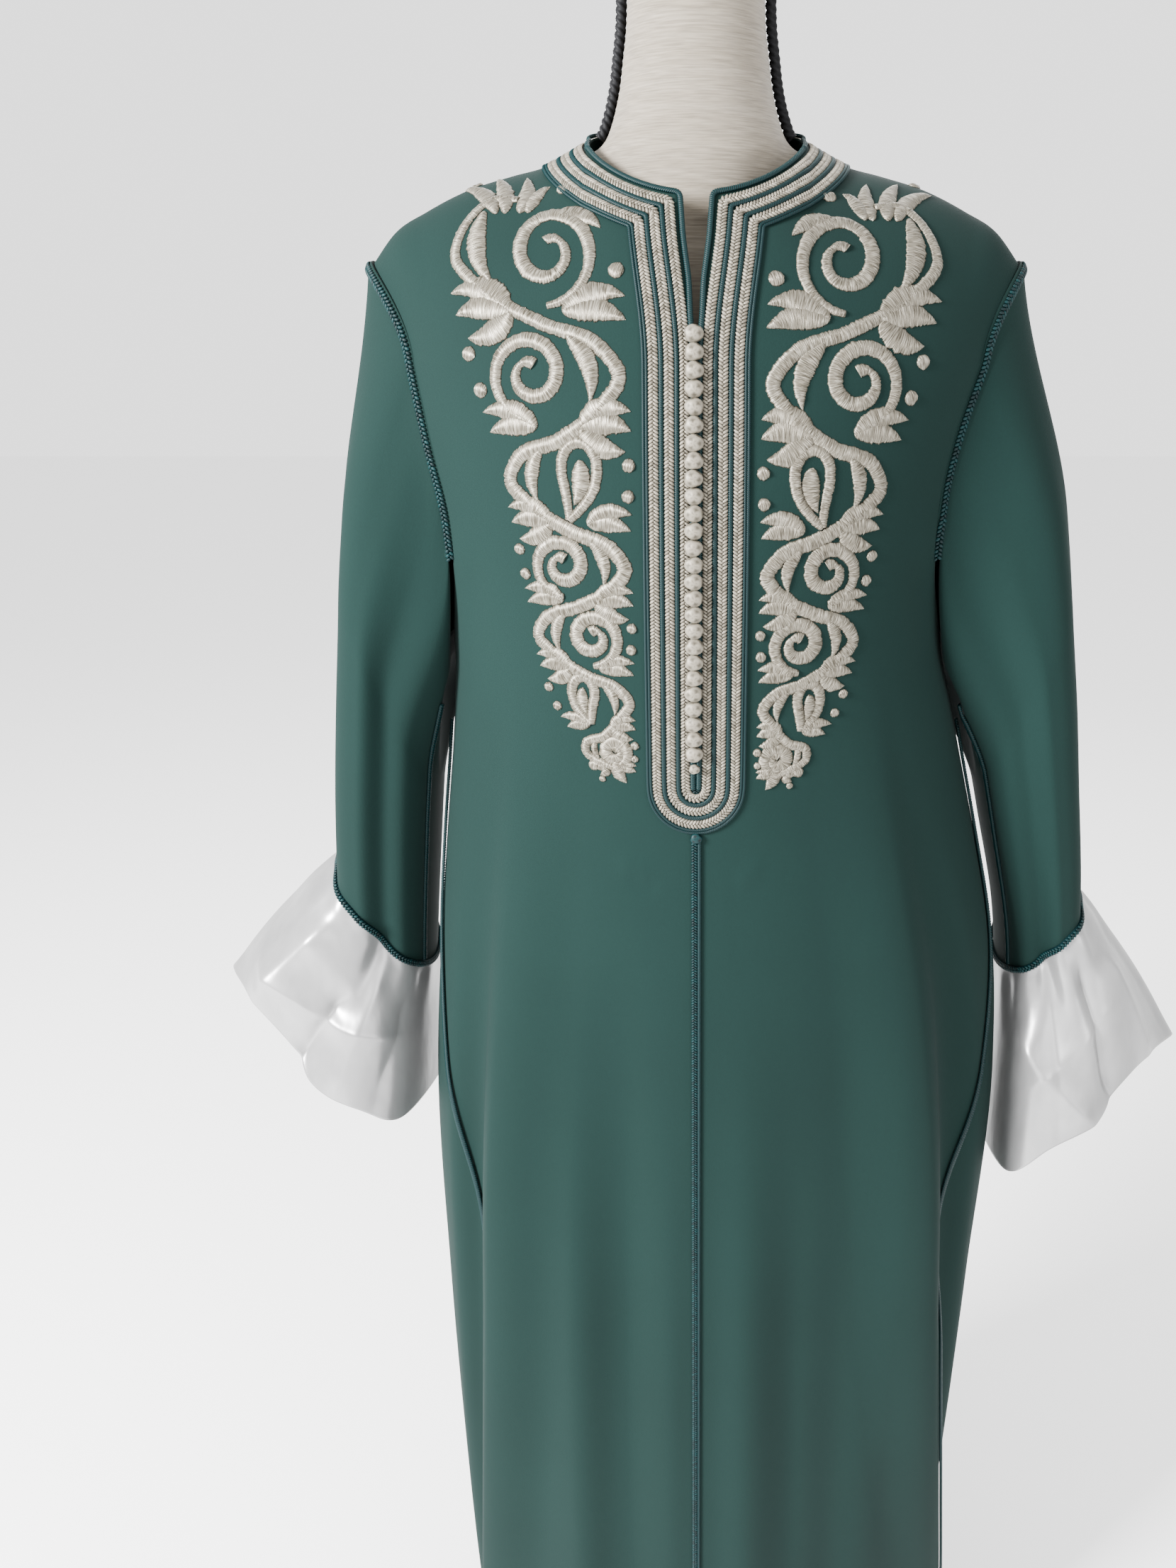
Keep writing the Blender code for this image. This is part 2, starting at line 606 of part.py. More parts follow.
def make_neck_braids():
    """Three flat silver plaits with teal cords between, inside and outside them."""
    rows = [("cord_slit_edge", SLOT_HALF - TEAL_WIDE / 2 - SEAM / 2, TEAL_WIDE, "teal_cord")]
    at = SLOT_HALF
    for place in ("inner", "middle", "outer"):
        rows.append(("braid_silver_" + place, at + SILVER_WIDE / 2, SILVER_WIDE, "silver_thread"))
        at += SILVER_WIDE
        wide = EDGE_WIDE if place == "outer" else TEAL_WIDE
        rows.append(("cord_teal_" + place, at + wide / 2, wide, "teal_cord"))
        at += wide
    for name, distance, wide, finish in rows:
        left, left_normal = half_braid_path(-1, distance)
        right, right_normal = half_braid_path(1, distance)
        high = SILVER_HIGH if finish == "silver_thread" else TEAL_HIGH
        if name == "cord_slit_edge":
            end_left, normal_left = round_end(distance, 2)
            path = np.concatenate([end_left[:1], left[::-1], right[1:], end_left[1:]])
            normal = np.concatenate([normal_left[:1], left_normal[::-1], right_normal[1:], normal_left[1:]])
            band_solid(name, path, normal, wide - 2 * SEAM, EDGE_HIGH, finish, thin=True)
            continue
        bend, bend_normal = round_end(distance)
        path = np.concatenate([left, bend, right[:0:-1]])
        normal = np.concatenate([left_normal, bend_normal, right_normal[:0:-1]])
        band_solid(name, path, normal, wide - 2 * SEAM, high, finish, closed=True, thin=finish == "teal_cord")


LOW_HEIGHTS = np.array([HEM, 0.13, 0.23, 0.33, 0.43, 0.51, 0.58, 0.64, 0.70, 0.77, 0.84, 0.91,
                        0.98, 1.04, 1.10, UNDERARM])
ARM_HEIGHTS = np.array([1.18, 1.21, 1.245, 1.285, 1.325])
YOKE_STEPS = np.array([0.0, 0.15, 0.30, 0.44, 0.57, 0.69, 0.79, 0.87, 0.93, 0.97, 1.0])


def height_to_t(z):
    """The panels' t for a level section at height z."""
    return (z - HEM) / (YOKE - HEM)


def panel_rows():
    """t of every row of a front or of the back."""
    level = height_to_t(np.concatenate([LOW_HEIGHTS, ARM_HEIGHTS]))
    return np.concatenate([level, 1.0 + YOKE_STEPS])


FRONT_COLUMNS = np.array([0.0, 0.08, 0.16, 0.24, NECK_SHARE, 0.35, 0.42, 0.52, 0.62, 0.72, 0.82, 0.91, 1.0])
BACK_COLUMNS = np.array([0.0, 0.10, 0.18, 0.245, NECK_SHARE, 0.36, 0.44, 0.58, 0.72, 0.87, 1.0])


def make_fronts():
    """The two fronts: sheets from the centre seam to the side seams and armholes."""
    u, t = np.meshgrid(FRONT_COLUMNS, panel_rows())
    for side, name in ((-1, "front_left"), (1, "front_right")):
        outer = panel(side, u, t)
        inner = outer - panel_with_normal(side, u, t) * CREPE
        sheet_solid(name, outer, inner, "crepe")


def make_back():
    """The back: one sheet from the left side over the middle to the right side."""
    u, t = np.meshgrid(BACK_COLUMNS, panel_rows())
    left = panel(-1, u, t, behind=True)
    left_in = left - panel_with_normal(-1, u, t, behind=True) * CREPE
    right = panel(1, u, t, behind=True)
    right_in = right - panel_with_normal(1, u, t, behind=True) * CREPE
    middle_out = (left[:, :1] + right[:, :1]) / 2
    middle_in = (left_in[:, :1] + right_in[:, :1]) / 2
    outer = np.concatenate([left[:, :0:-1], middle_out, right[:, 1:]], axis=1)
    inner = np.concatenate([left_in[:, :0:-1], middle_in, right_in[:, 1:]], axis=1)
    sheet_solid("back", outer, inner, "crepe")


def make_gores():
    """The side gores: narrow under the arm and wide at the hem."""
    u, z = np.meshgrid(np.linspace(0.0, 1.0, 8), LOW_HEIGHTS)
    for side, name in ((-1, "gore_left"), (1, "gore_right")):
        outer = gore(side, u, z)
        inner = outer - normals_of(lambda a, b: gore(side, a, b), u, z, side) * CREPE
        sheet_solid(name, outer, inner, "crepe")


def armhole(side, angle):
    """The armhole's edge and its normals: 0 degrees at the shoulder, 90 in front, 180 under the arm."""
    t = np.concatenate([height_to_t(np.linspace(UNDERARM, YOKE, 20)), np.linspace(1.03, 2.0, 20)])
    u = np.linspace(0.1, 0.9, 5)
    z = UNDERARM + 0 * u
    under_normal = normals_of(lambda a, b: gore(side, a, b), u, z, side)
    loop = np.concatenate([panel(side, 0 * t + 1.0, t)[::-1], gore(side, u, z),
                           panel(side, 0 * t + 1.0, t, behind=True)])
    normal = np.concatenate([panel_with_normal(side, 0 * t + 1.0, t)[::-1], under_normal,
                             panel_with_normal(side, 0 * t + 1.0, t, behind=True)])
    length = np.concatenate([[0.0], np.cumsum(np.linalg.norm(np.diff(loop, axis=0), axis=1))])
    at = np.mod(angle, 360.0) / 360.0 * length[-1]
    return tuple(np.stack([np.interp(at, length, row[:, k]) for k in range(3)], axis=-1)
                 for row in (loop, normal))


def cuff_seam_height(side, angle):
    """Height of the seam between sleeve and cuff, higher on the outside."""
    middle, rise = CUFF_SEAM[side]
    return middle + rise * np.cos(np.radians(angle))


def sleeve(side, angle, t):
    """A point of a sleeve: it leaves the armhole and becomes a flat tube that hangs."""
    angle, t = np.broadcast_arrays(np.asarray(angle, float), np.asarray(t, float))
    ring = armhole(side, angle)[0]
    under = np.clip(-np.cos(np.radians(angle)), 0.0, 1.0) ** 2
    ring[..., 0] += side * (0.0022 + 0.0016 * under)
    z = ring[..., 2] + (cuff_seam_height(side, angle) - ring[..., 2]) * t
    outer = through(SLEEVE.height, SLEEVE.outer_left if side < 0 else SLEEVE.outer_right, z)
    inner = body_half(side, z) + SLEEVE_CLEAR
    front = through(SLEEVE.height, SLEEVE.front, z)
    back = through(SLEEVE.height, SLEEVE.back, z)
    turn = np.radians(angle)
    dent = np.zeros(angle.shape)
    for k in np.flatnonzero(SLEEVE_FOLDS.side == side):
        away = np.abs(np.mod(angle - SLEEVE_FOLDS.angle[k] + 180.0, 360.0) - 180.0)
        reach = np.clip(away / SLEEVE_FOLDS.half[k], 0.0, 1.0)
        dent = dent + SLEEVE_FOLDS.depth[k] * np.cos(reach * np.pi / 2) ** 2
    reach_x = (outer + inner) / 2 + ((outer - inner) / 2 + dent) * np.cos(turn)
    reach_y = (front + back) / 2 - ((back - front) / 2 + dent) * np.sin(turn)
    early = 1.0 - (1.0 - np.clip(t / 0.32, 0.0, 1.0)) ** 2
    leave = smooth(t / 0.45)
    leave = leave + (early - leave) * np.clip(np.cos(turn), 0.0, 1.0)
    x = side * ring[..., 0] + (reach_x - side * ring[..., 0]) * leave
    y = ring[..., 1] + (reach_y - ring[..., 1]) * leave
    depth = np.where(y < 0, through(BODY.height, BODY.front, z), through(BODY.height, BODY.back, z))
    beside = body_half(side, z) * np.sqrt(np.clip(1 - (y / depth) ** 2, 0.0, 1.0))
    clear = SLEEVE_CLEAR_TOP + (SLEEVE_CLEAR - SLEEVE_CLEAR_TOP) * smooth((UNDERARM - z) / 0.05)
    x = np.where(z < YOKE - 0.02, np.maximum(x, beside + clear), x)
    return np.stack([side * x, y, z], axis=-1)


def cuff(side, angle, t):
    """A point of a cuff: from the sleeve's seam to its free edge, swelling between them."""
    angle, t = np.broadcast_arrays(np.asarray(angle, float), np.asarray(t, float))
    seam = sleeve(side, angle, 1.0 + 0 * t)
    edge = CUFF_EDGE[side]
    reach = round_through(edge.angle, edge.reach, angle)
    y = round_through(edge.angle, edge.y, angle)
    z = round_through(edge.angle, edge.height, angle)
    free = np.stack([side * reach, y, z], axis=-1)
    turn = np.radians(angle)
    out = np.stack([side * np.clip(np.cos(turn), 0.0, 1.0), -np.sin(turn), 0.4 + 0 * turn], axis=-1)
    s = t[..., None]
    return seam + (free - seam) * s + out * CUFF_CROWN * np.sin(np.pi * s) ** 1.0


SLEEVE_STEPS = np.array([0.0, 0.05, 0.11, 0.18, 0.26, 0.36, 0.47, 0.60, 0.73, 0.87, 1.0])
CUFF_STEPS = np.array([0.0, 0.2, 0.45, 0.72, 1.0])
CUFF_GAP = 0.0009         # between a sleeve's end and the cuff, under the cord
ROUND_ANGLES = np.arange(0.0, 360.0, 360.0 / 24)


def tube_normals(surface, angle, t):
    """Outward unit normals of a sleeve or a cuff, from its two tangents."""
    across = surface(angle + 2.0, t) - surface(angle - 2.0, t)
    along = surface(angle, t + 0.02) - surface(angle, t - 0.02)
    normal = np.cross(across, along)
    return normal / np.linalg.norm(normal, axis=-1, keepdims=True)


def sleeve_normals(side, angle, t):
    """Outward normals of a sleeve."""
    return tube_normals(lambda a, b: sleeve(side, a, b), angle, np.clip(t, 0.02, 0.98)) * side


def cuff_normals(side, angle, t):
    """Outward normals of a cuff."""
    return tube_normals(lambda a, b: cuff(side, a, b), angle, t) * side


def make_sleeves():
    """Sleeves and cuffs: tubes of cloth, open at both ends."""
    for side, word in ((-1, "left"), (1, "right")):
        angle, t = np.meshgrid(ROUND_ANGLES, SLEEVE_STEPS)
        outer = sleeve(side, angle, t)
        tube_solid("sleeve_" + word, outer, outer - sleeve_normals(side, angle, t) * CREPE, "crepe")
        angle, t = np.meshgrid(ROUND_ANGLES, CUFF_STEPS)
        outer = cuff(side, angle, t)
        along = cuff(side, angle, t + 0.02) - cuff(side, angle, t - 0.02)
        along = along / np.linalg.norm(along, axis=-1, keepdims=True)
        outer = outer + along * CUFF_GAP * (1 - t)[..., None]
        tube_solid("cuff_" + word, outer, outer - cuff_normals(side, angle, t) * SATIN, "satin")


def seam_cord(name, path, normal, closed=False):
    """A round braided cord over a seam."""
    band_solid(name, path, normal, SEAM_CORD_WIDE, SEAM_CORD_HIGH, "teal_cord", closed, round_cord=True)


def make_seam_cords():
    """Braided cord over the seams that show: centre, sides, armholes, underarms, cuffs."""
    heights = LOW_HEIGHTS
    t = height_to_t(np.append(heights[heights < SLIT_END - 0.045], SLIT_END - 0.0385))
    path = panel(1, 0 * t, t)
    path[:, 0] = 0.0
    band_solid("cord_centre", path, panel_with_normal(1, 0 * t, t), CENTRE_WIDE, SEAM_CORD_HIGH, "teal_cord")
    for side, word in ((-1, "left"), (1, "right")):
        z = LOW_HEIGHTS[:-2]
        path = (gore(side, 0 * z, z) + panel(side, 0 * z + 1.0, height_to_t(z))) / 2
        normal = normals_of(lambda a, b: gore(side, a, b), 0 * z, z, side)
        seam_cord("cord_side_" + word, path + normal * HOLLOW_LIFT, normal)
        angle = np.linspace(-132.0, 132.0, 27)
        near, near_normal = armhole(side, angle)
        far = sleeve(side, angle, 0 * angle)
        normal = near_normal + sleeve_normals(side, angle, 0 * angle)
        normal = normal / np.linalg.norm(normal, axis=-1, keepdims=True)
        seam_cord("cord_armhole_" + word, (near + far) / 2 + normal * ARMHOLE_LIFT, normal)
        t = np.append(SLEEVE_STEPS[4:-1], 0.985)
        angle = UNDERARM_SEAM + 0 * t
        normal = sleeve_normals(side, angle, t)
        seam_cord("cord_underarm_" + word, sleeve(side, angle, t), normal)
        angle = ROUND_ANGLES
        path = (sleeve(side, angle, 1.0 + 0 * angle) + cuff(side, angle, 0.006 + 0 * angle)) / 2
        normal = sleeve_normals(side, angle, 1.0 + 0 * angle) + cuff_normals(side, angle, 0.05 + 0 * angle)
        normal = normal / np.linalg.norm(normal, axis=-1, keepdims=True)
        seam_cord("cord_cuff_" + word, path, normal, closed=True)


def make_buttons():
    """Knotted balls down the slit: low-sided balls, each seated on the inner plaits."""
    around, rings = 7, 4
    turn = np.linspace(0.0, 2 * np.pi, around, endpoint=False)
    rise = np.linspace(-0.5 * np.pi, 0.5 * np.pi, rings + 1)[1:-1]
    wide, deep, high = BUTTON_SIZE
    for k in range(BUTTON_COUNT):
        z = BUTTON_TOP - k * BUTTON_PITCH
        u, t = locate(1, [(0.0001, z)], [0, 2])
        seat = panel(1, u, t)[0]
        centre_y = seat[1] - LIFT - SILVER_HIGH - 2 * SEAM + deep / 2 * np.sin(rise[0])
        ball = [np.stack([wide / 2 * np.cos(r) * np.cos(turn) + BUTTON_SHIFT,
                          deep / 2 * np.sin(r) + 0 * turn + centre_y,
                          high / 2 * np.cos(r) * np.sin(turn) + z], axis=-1) for r in rise]
        closed_rings("button_%02d" % (k + 1), ball, "silver_thread")


def form_ring(z, turn):
    """A ring of the dress form: trunk and neck ellipses, the larger radius at each angle."""
    ahead, aside = np.cos(turn), np.sin(turn)
    middle = through(FORM.height, FORM.middle, z)
    half = through(FORM.height, FORM.half, z)
    depth = np.where(ahead > 0, through(FORM.height, FORM.front, z), through(FORM.height, FORM.back, z))
    trunk = 1.0 / np.hypot(aside / half, ahead / depth)
    neck = 1.0 / np.hypot(aside / through(NECK.height, NECK.half, z),
                          ahead / through(NECK.height, NECK.depth, z))
    radius = (trunk**10 + neck**10) ** 0.1
    return np.stack([radius * aside, middle - radius * ahead, z + 0 * turn], axis=-1)


def make_form():
    """The dress form: one smooth closed body, black rope on its neck, cap, pole and base."""
    turn = np.linspace(0.0, 2 * np.pi, 24, endpoint=False)
    spread = turn + 0.28 * np.sin(2 * turn)
    heights = np.union1d(FORM.height, NECK.height[2:])
    rings = [form_ring(z, spread) for z in heights]
    closed_rings("form_body", rings, "linen")
    top = FORM.height[-1]
    cap_half = NECK.half[-1] + 0.0015
    cap = [np.stack([r * np.cos(turn), FORM.middle[-1] - r * np.sin(turn), z + 0 * turn], axis=-1)
           for r, z in ((cap_half, top + SEAM), (cap_half, top + 0.7 * CAP_HEIGHT),
                        (cap_half * 0.8, top + CAP_HEIGHT))]
    closed_rings("form_cap", cap, "dark_metal")
    for side, word in ((-1, "left"), (1, "right")):
        z = np.append(NECK.height[(NECK.height > NECK_SIDE_HEIGHT) & (NECK.height < top)], top - 0.002)
        wall = np.array([form_ring(h, np.array([side * np.pi / 2]))[0] for h in z])
        along = np.gradient(wall, axis=0)
        along = along / np.linalg.norm(along, axis=1, keepdims=True)
        fore = np.array([0.0, 1.0, 0.0])
        aside = np.cross(fore, along) * side
        path = wall + aside * (ROPE_RADIUS + 3 * SEAM)
        spin = np.linspace(0.0, 2 * np.pi, 6, endpoint=False)
        ring = (path[:, None] + ROPE_RADIUS * (np.cos(spin)[None, :, None] * aside[:, None]
                + np.sin(spin)[None, :, None] * fore))
        closed_rings("form_rope_" + word, ring, "black_rope")
    pole_top = FORM.height[0] - SEAM
    pole = [np.stack([POLE_RADIUS * np.cos(turn[::2]), POLE_RADIUS * np.sin(turn[::2]),
                      z + 0 * turn[::2]], axis=-1) for z in (BASE_HEIGHT + SEAM, pole_top)]
    closed_rings("form_pole", pole, "dark_metal")
    base = [np.stack([r * np.cos(turn), r * np.sin(turn), z + 0 * turn], axis=-1)
            for r, z in ((BASE_RADIUS, 0.0), (BASE_RADIUS, 0.7 * BASE_HEIGHT),
                         (BASE_RADIUS * 0.97, BASE_HEIGHT))]
    closed_rings("form_base", base, "dark_metal")


for old in list(bpy.data.objects):
    bpy.data.objects.remove(old, do_unlink=True)

MATERIALS = {}
for finish_name, (colour, roughness, metallic) in FINISHES.items():
    material = bpy.data.materials.new(finish_name)
    material.use_nodes = True
    shader = material.node_tree.nodes["Principled BSDF"]
    shader.inputs["Base Color"].default_value = (*colour, 1.0)
    shader.inputs["Roughness"].default_value = roughness
    shader.inputs["Metallic"].default_value = metallic
    MATERIALS[finish_name] = material

make_form()
make_fronts()
make_back()
make_gores()
make_sleeves()
make_neck_braids()
make_seam_cords()
make_buttons()
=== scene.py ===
# %% [markdown]
# # A long kaftan on a dress form
# The garment is dusty teal crepe with flared satin cuffs. Three silver plaits and four
# teal cords run round the neck and down a buttoned slit, and silver satin-stitch scrolls
# lie on both sides of it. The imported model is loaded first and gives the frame: every
# new piece is worked out from the same named sections, so it lies where its solid lies.

import bpy
import numpy as np
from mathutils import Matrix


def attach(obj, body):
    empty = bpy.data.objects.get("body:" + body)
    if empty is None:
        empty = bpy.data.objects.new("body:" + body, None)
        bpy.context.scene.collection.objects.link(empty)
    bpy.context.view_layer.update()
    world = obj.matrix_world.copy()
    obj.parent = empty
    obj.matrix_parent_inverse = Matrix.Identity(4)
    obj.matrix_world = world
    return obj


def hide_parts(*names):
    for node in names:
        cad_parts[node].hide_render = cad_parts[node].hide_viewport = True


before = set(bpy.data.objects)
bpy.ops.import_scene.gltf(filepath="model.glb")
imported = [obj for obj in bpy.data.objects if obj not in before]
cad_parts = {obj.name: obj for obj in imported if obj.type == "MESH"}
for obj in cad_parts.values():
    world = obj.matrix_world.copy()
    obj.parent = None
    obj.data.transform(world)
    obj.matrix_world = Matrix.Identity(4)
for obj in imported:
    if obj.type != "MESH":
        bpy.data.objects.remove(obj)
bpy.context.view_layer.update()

# %% [markdown]
# ## Camera
# The photograph was taken close to the garment, a little above the chest and looking
# down. Its focal length and place were fitted to the neckline, the slit, the shoulders
# and the cuffs, so the camera is given by those few numbers.

# %% Camera
PICTURE = (1659, 2212)          # pixels of the photograph
FOCAL_PIXELS = 1700.0           # focal length in those pixels
PRINCIPAL_X = 982.0             # pixel column that the lens looks along
EYE = (0.0, -0.93, 1.38)
LOOKS_DOWN = 20.5               # degrees
SENSOR = 36.0                   # millimetres along the picture's long side

lens = bpy.data.cameras.new("photograph_camera")
lens.sensor_width = SENSOR
lens.lens = FOCAL_PIXELS / PICTURE[1] * SENSOR
lens.shift_x = (PICTURE[0] / 2 - PRINCIPAL_X) / PICTURE[1]
lens.clip_start = 0.02
camera = bpy.data.objects.new("photograph_camera", lens)
camera.location = EYE
camera.rotation_euler = (np.radians(90.0 - LOOKS_DOWN), 0.0, 0.0)
bpy.context.scene.collection.objects.link(camera)
bpy.context.scene.camera = camera
print("lens %.2f mm, shift %.4f" % (lens.lens, lens.shift_x))

# %% [markdown]
# ## Studio
# The photograph has a white ground and very soft light that comes from the front left.
# A pale floor, one big area lamp for the key, a weaker one on the right and one from
# behind give that: the folds shade softly and the silver work keeps small highlights.

# %% Floor, lamps and world
def make_lamp(name, place, aim, size, power):
    """A square area lamp at a place, turned so that its -Z axis points at the aim."""
    light = bpy.data.lights.new(name, "AREA")
    light.size = size
    light.energy = power
    lamp = bpy.data.objects.new(name, light)
    lamp.location = place
    away = np.array(place) - np.array(aim)
    level = np.hypot(away[0], away[1])
    lamp.rotation_euler = (np.arctan2(level, away[2]), 0.0, np.arctan2(away[0], -away[1]))
    bpy.context.scene.collection.objects.link(lamp)
    return lamp


CHEST = (0.0, 0.0, 1.15)
make_lamp("key_left", (-2.3, -1.6, 2.2), CHEST, 0.9, 640.0)
make_lamp("fill_right", (1.6, -2.6, 1.9), CHEST, 2.0, 70.0)
make_lamp("rim_back", (0.4, 2.2, 2.7), CHEST, 2.0, 60.0)

world = bpy.data.worlds.new("studio_white")
world.use_nodes = True
sky = world.node_tree.nodes["Background"]
sky.inputs["Color"].default_value = (1.0, 1.0, 1.0, 1.0)
sky.inputs["Strength"].default_value = 2.1
bpy.context.scene.world = world
print("view", bpy.context.scene.view_settings.view_transform, bpy.context.scene.view_settings.exposure)

FLOOR_HALF = 14.0
floor_mesh = bpy.data.meshes.new("studio_floor")
floor_mesh.from_pydata([(-FLOOR_HALF, -FLOOR_HALF, 0), (FLOOR_HALF, -FLOOR_HALF, 0),
                        (FLOOR_HALF, FLOOR_HALF, 0), (-FLOOR_HALF, FLOOR_HALF, 0)], [], [(0, 1, 2, 3)])
floor = bpy.data.objects.new("studio_floor", floor_mesh)
bpy.context.scene.collection.objects.link(floor)
paper = bpy.data.materials.new("studio_paper")
paper.use_nodes = True
paper.node_tree.nodes["Principled BSDF"].inputs["Base Color"].default_value = (0.92, 0.92, 0.92, 1.0)
paper.node_tree.nodes["Principled BSDF"].inputs["Roughness"].default_value = 0.9
floor_mesh.materials.append(paper)

# %% [markdown]
# ## Finishes
# Each finish is a small node tree. A helper makes the shader with its plain numbers on
# the shader's own sockets, and a few more add what a texture changes: a colour that
# varies softly, and a bump. Patterns read Object coordinates, which are metres here, or
# the piece's UV map where they follow a stitch or a strand.

# %% Helpers for the finishes
MIX_A, MIX_B, MIX_RESULT = 6, 7, 2     # a Mix node's colour sockets, which share their names


def shader_of(material):
    """The material's Principled shader."""
    return material.node_tree.nodes["Principled BSDF"]


def new_finish(name, colour, roughness, **sockets):
    """A material with one colour, a roughness, and any other shader sockets by name."""
    material = bpy.data.materials.new(name)
    material.use_nodes = True
    shader = shader_of(material)
    shader.inputs["Base Color"].default_value = (*colour, 1.0)
    shader.inputs["Roughness"].default_value = roughness
    for socket, value in sockets.items():
        shader.inputs[socket.replace("_", " ")].default_value = value
    return material


def add_node(material, kind, **settings):
    """A node of that kind. A setting names one of its properties or, failing that, a socket."""
    node = material.node_tree.nodes.new("ShaderNode" + kind)
    for name, value in settings.items():
        if hasattr(node, name):
            setattr(node, name, value)
        else:
            node.inputs[name.replace("_", " ")].default_value = value
    return node


def join(material, source, socket, target, into):
    """A link from one node's socket to another's."""
    material.node_tree.links.new(source.outputs[socket], target.inputs[into])


def coordinates(material, kind="Object", scale=(1.0, 1.0, 1.0), turn=(0.0, 0.0, 0.0)):
    """Texture coordinates through a Mapping node that stretches and turns them."""
    place = add_node(material, "TexCoord")
    mapping = add_node(material, "Mapping")
    mapping.inputs["Scale"].default_value = scale
    mapping.inputs["Rotation"].default_value = turn
    join(material, place, kind, mapping, "Vector")
    return mapping


def noise(material, where, scale, detail=2.0, roughness=0.5):
    """A noise texture read at those coordinates."""
    texture = add_node(material, "TexNoise", Scale=scale, Detail=detail, Roughness=roughness)
    join(material, where, "Vector", texture, "Vector")
    return texture


def ramp(material, source, socket, stops):
    """A colour ramp: (position, colour) for each stop, on a texture's value."""
    node = add_node(material, "ValToRGB")
    join(material, source, socket, node, "Fac")
    keys = node.color_ramp.elements
    while len(keys) < len(stops):
        keys.new(0.5)
    for key, (position, colour) in zip(keys, stops):
        key.position = position
        key.color = (*colour, 1.0)
    return node


def colour_from(material, source, socket="Color"):
    """The shader's colour comes from that node."""
    join(material, source, socket, shader_of(material), "Base Color")


def multiplied(material, first, second):
    """The shader's colour is two ramps' colours multiplied."""
    node = add_node(material, "Mix", data_type="RGBA", blend_type="MULTIPLY")
    node.inputs["Factor"].default_value = 1.0
    join(material, first, "Color", node, MIX_A)
    join(material, second, "Color", node, MIX_B)
    colour_from(material, node, MIX_RESULT)


def bump_from(material, source, socket, strength, distance):
    """A bump of that distance in metres. A second call adds to the first."""
    bump = add_node(material, "Bump", Strength=strength, Distance=distance)
    join(material, source, socket, bump, "Height")
    normal = shader_of(material).inputs["Normal"]
    if normal.links:
        material.node_tree.links.new(normal.links[0].from_socket, bump.inputs["Normal"])
    material.node_tree.links.new(bump.outputs["Normal"], normal)
    return bump


def shades(material, low, high):
    """The colour varies by the mesh attribute "shade": at random from strand to strand on plaits, and as
    painted shade, darker in the grooves and hollows, on twisted cords and knotted buttons.
    """
    attribute = add_node(material, "Attribute", attribute_name="shade")
    return ramp(material, attribute, "Fac", [(0.0, low), (1.0, high)])


# %% [markdown]
# ### Crepe
# Crepe is matt, with a very fine pebbled grain and a soft bloom where the light grazes
# it. A noise of about a millimetre gives the grain, a slow one the uneven dye, and the
# sheen sockets the bloom.

# %% Crepe
CREPE_COLOUR = (0.0040, 0.0134, 0.0118)
crepe = new_finish("teal_crepe", CREPE_COLOUR, 0.84, Sheen_Weight=0.01, Sheen_Roughness=0.5,
                   Specular_IOR_Level=0.06)
place = coordinates(crepe)
dye = ramp(crepe, noise(crepe, place, 5.0, 3.0), "Fac",
           [(0.3, tuple(0.94 * c for c in CREPE_COLOUR)), (0.7, tuple(1.06 * c for c in CREPE_COLOUR))])
grain = noise(crepe, place, 950.0, 2.0, 0.7)
speckle = ramp(crepe, grain, "Fac", [(0.25, (0.86, 0.86, 0.86)), (0.75, (1.0, 1.0, 1.0))])
multiplied(crepe, dye, speckle)
bump_from(crepe, grain, "Fac", 0.35, 0.0004)
bump_from(crepe, noise(crepe, coordinates(crepe, scale=(1.0, 1.0, 0.35)), 60.0, 3.0), "Fac", 0.10, 0.002)

# %% [markdown]
# ### Satin
# The cuffs are heavy satin: smooth, pale and silvery, with broad soft highlights. The
# weave is too fine to see, so only a faint ripple of the cloth is added; its colour is
# painted lighter on the ripple's crests and darker in its troughs, a painted highlight and shade.

# %% Satin
satin = new_finish("silver_satin", (0.27, 0.27, 0.27), 0.33, Metallic=0.50, Specular_IOR_Level=0.5)
place = coordinates(satin, scale=(1.0, 1.0, 0.5))
ripple = noise(satin, place, 28.0, 3.0, 0.55)
bump_from(satin, ripple, "Fac", 0.22, 0.004)
bump_from(satin, noise(satin, coordinates(satin), 1500.0, 1.0), "Fac", 0.12, 0.0002)
# Painted light and shade: the colour follows the ripple's bump, lighter on its crests and darker in its
# troughs.
ripple_light_and_shade = ramp(satin, ripple, "Fac", [(0.3, (0.22, 0.220, 0.222)), (0.7, (0.30, 0.299, 0.300))])
colour_from(satin, ripple_light_and_shade)

# %% [markdown]
# ### Silver thread, for plaits, buttons and embroidery
# The thread is a metal-wrapped silk: warm silver, shiny along each strand. In plaits the
# strands differ a little from each other, so their colour reads an attribute; on the knotted
# buttons the same attribute is painted shade in the hollows between strands. The strap under
# a plait is a darker silver, painted shade of the gaps. In the embroidery the threads run
# across each stroke, so its UV map carries them: U along the stroke in metres, V across it
# from edge to edge. The stripes of the threads are darker between threads, partly painted shade.

# %% Silver thread
plait_silver = new_finish("plaited_silver", (0.30, 0.28, 0.24), 0.45, Metallic=0.30,
                          Specular_IOR_Level=0.35)
colour_from(plait_silver, shades(plait_silver, (0.050, 0.043, 0.030), (0.215, 0.193, 0.152)))
bump_from(plait_silver, noise(plait_silver, coordinates(plait_silver), 2600.0, 2.0), "Fac", 0.5, 0.0003)

# The strap under each plait is given a dark silver: painted shade of the gaps between the strands.
silver_strap_painted_shade = new_finish("silver_ground_painted_shade", (0.19, 0.175, 0.145), 0.7)
grain = noise(silver_strap_painted_shade, coordinates(silver_strap_painted_shade), 1500.0)
colour_from(silver_strap_painted_shade, ramp(silver_strap_painted_shade, grain, "Fac",
                                [(0.3, (0.030, 0.027, 0.020)), (0.7, (0.070, 0.063, 0.048))]))

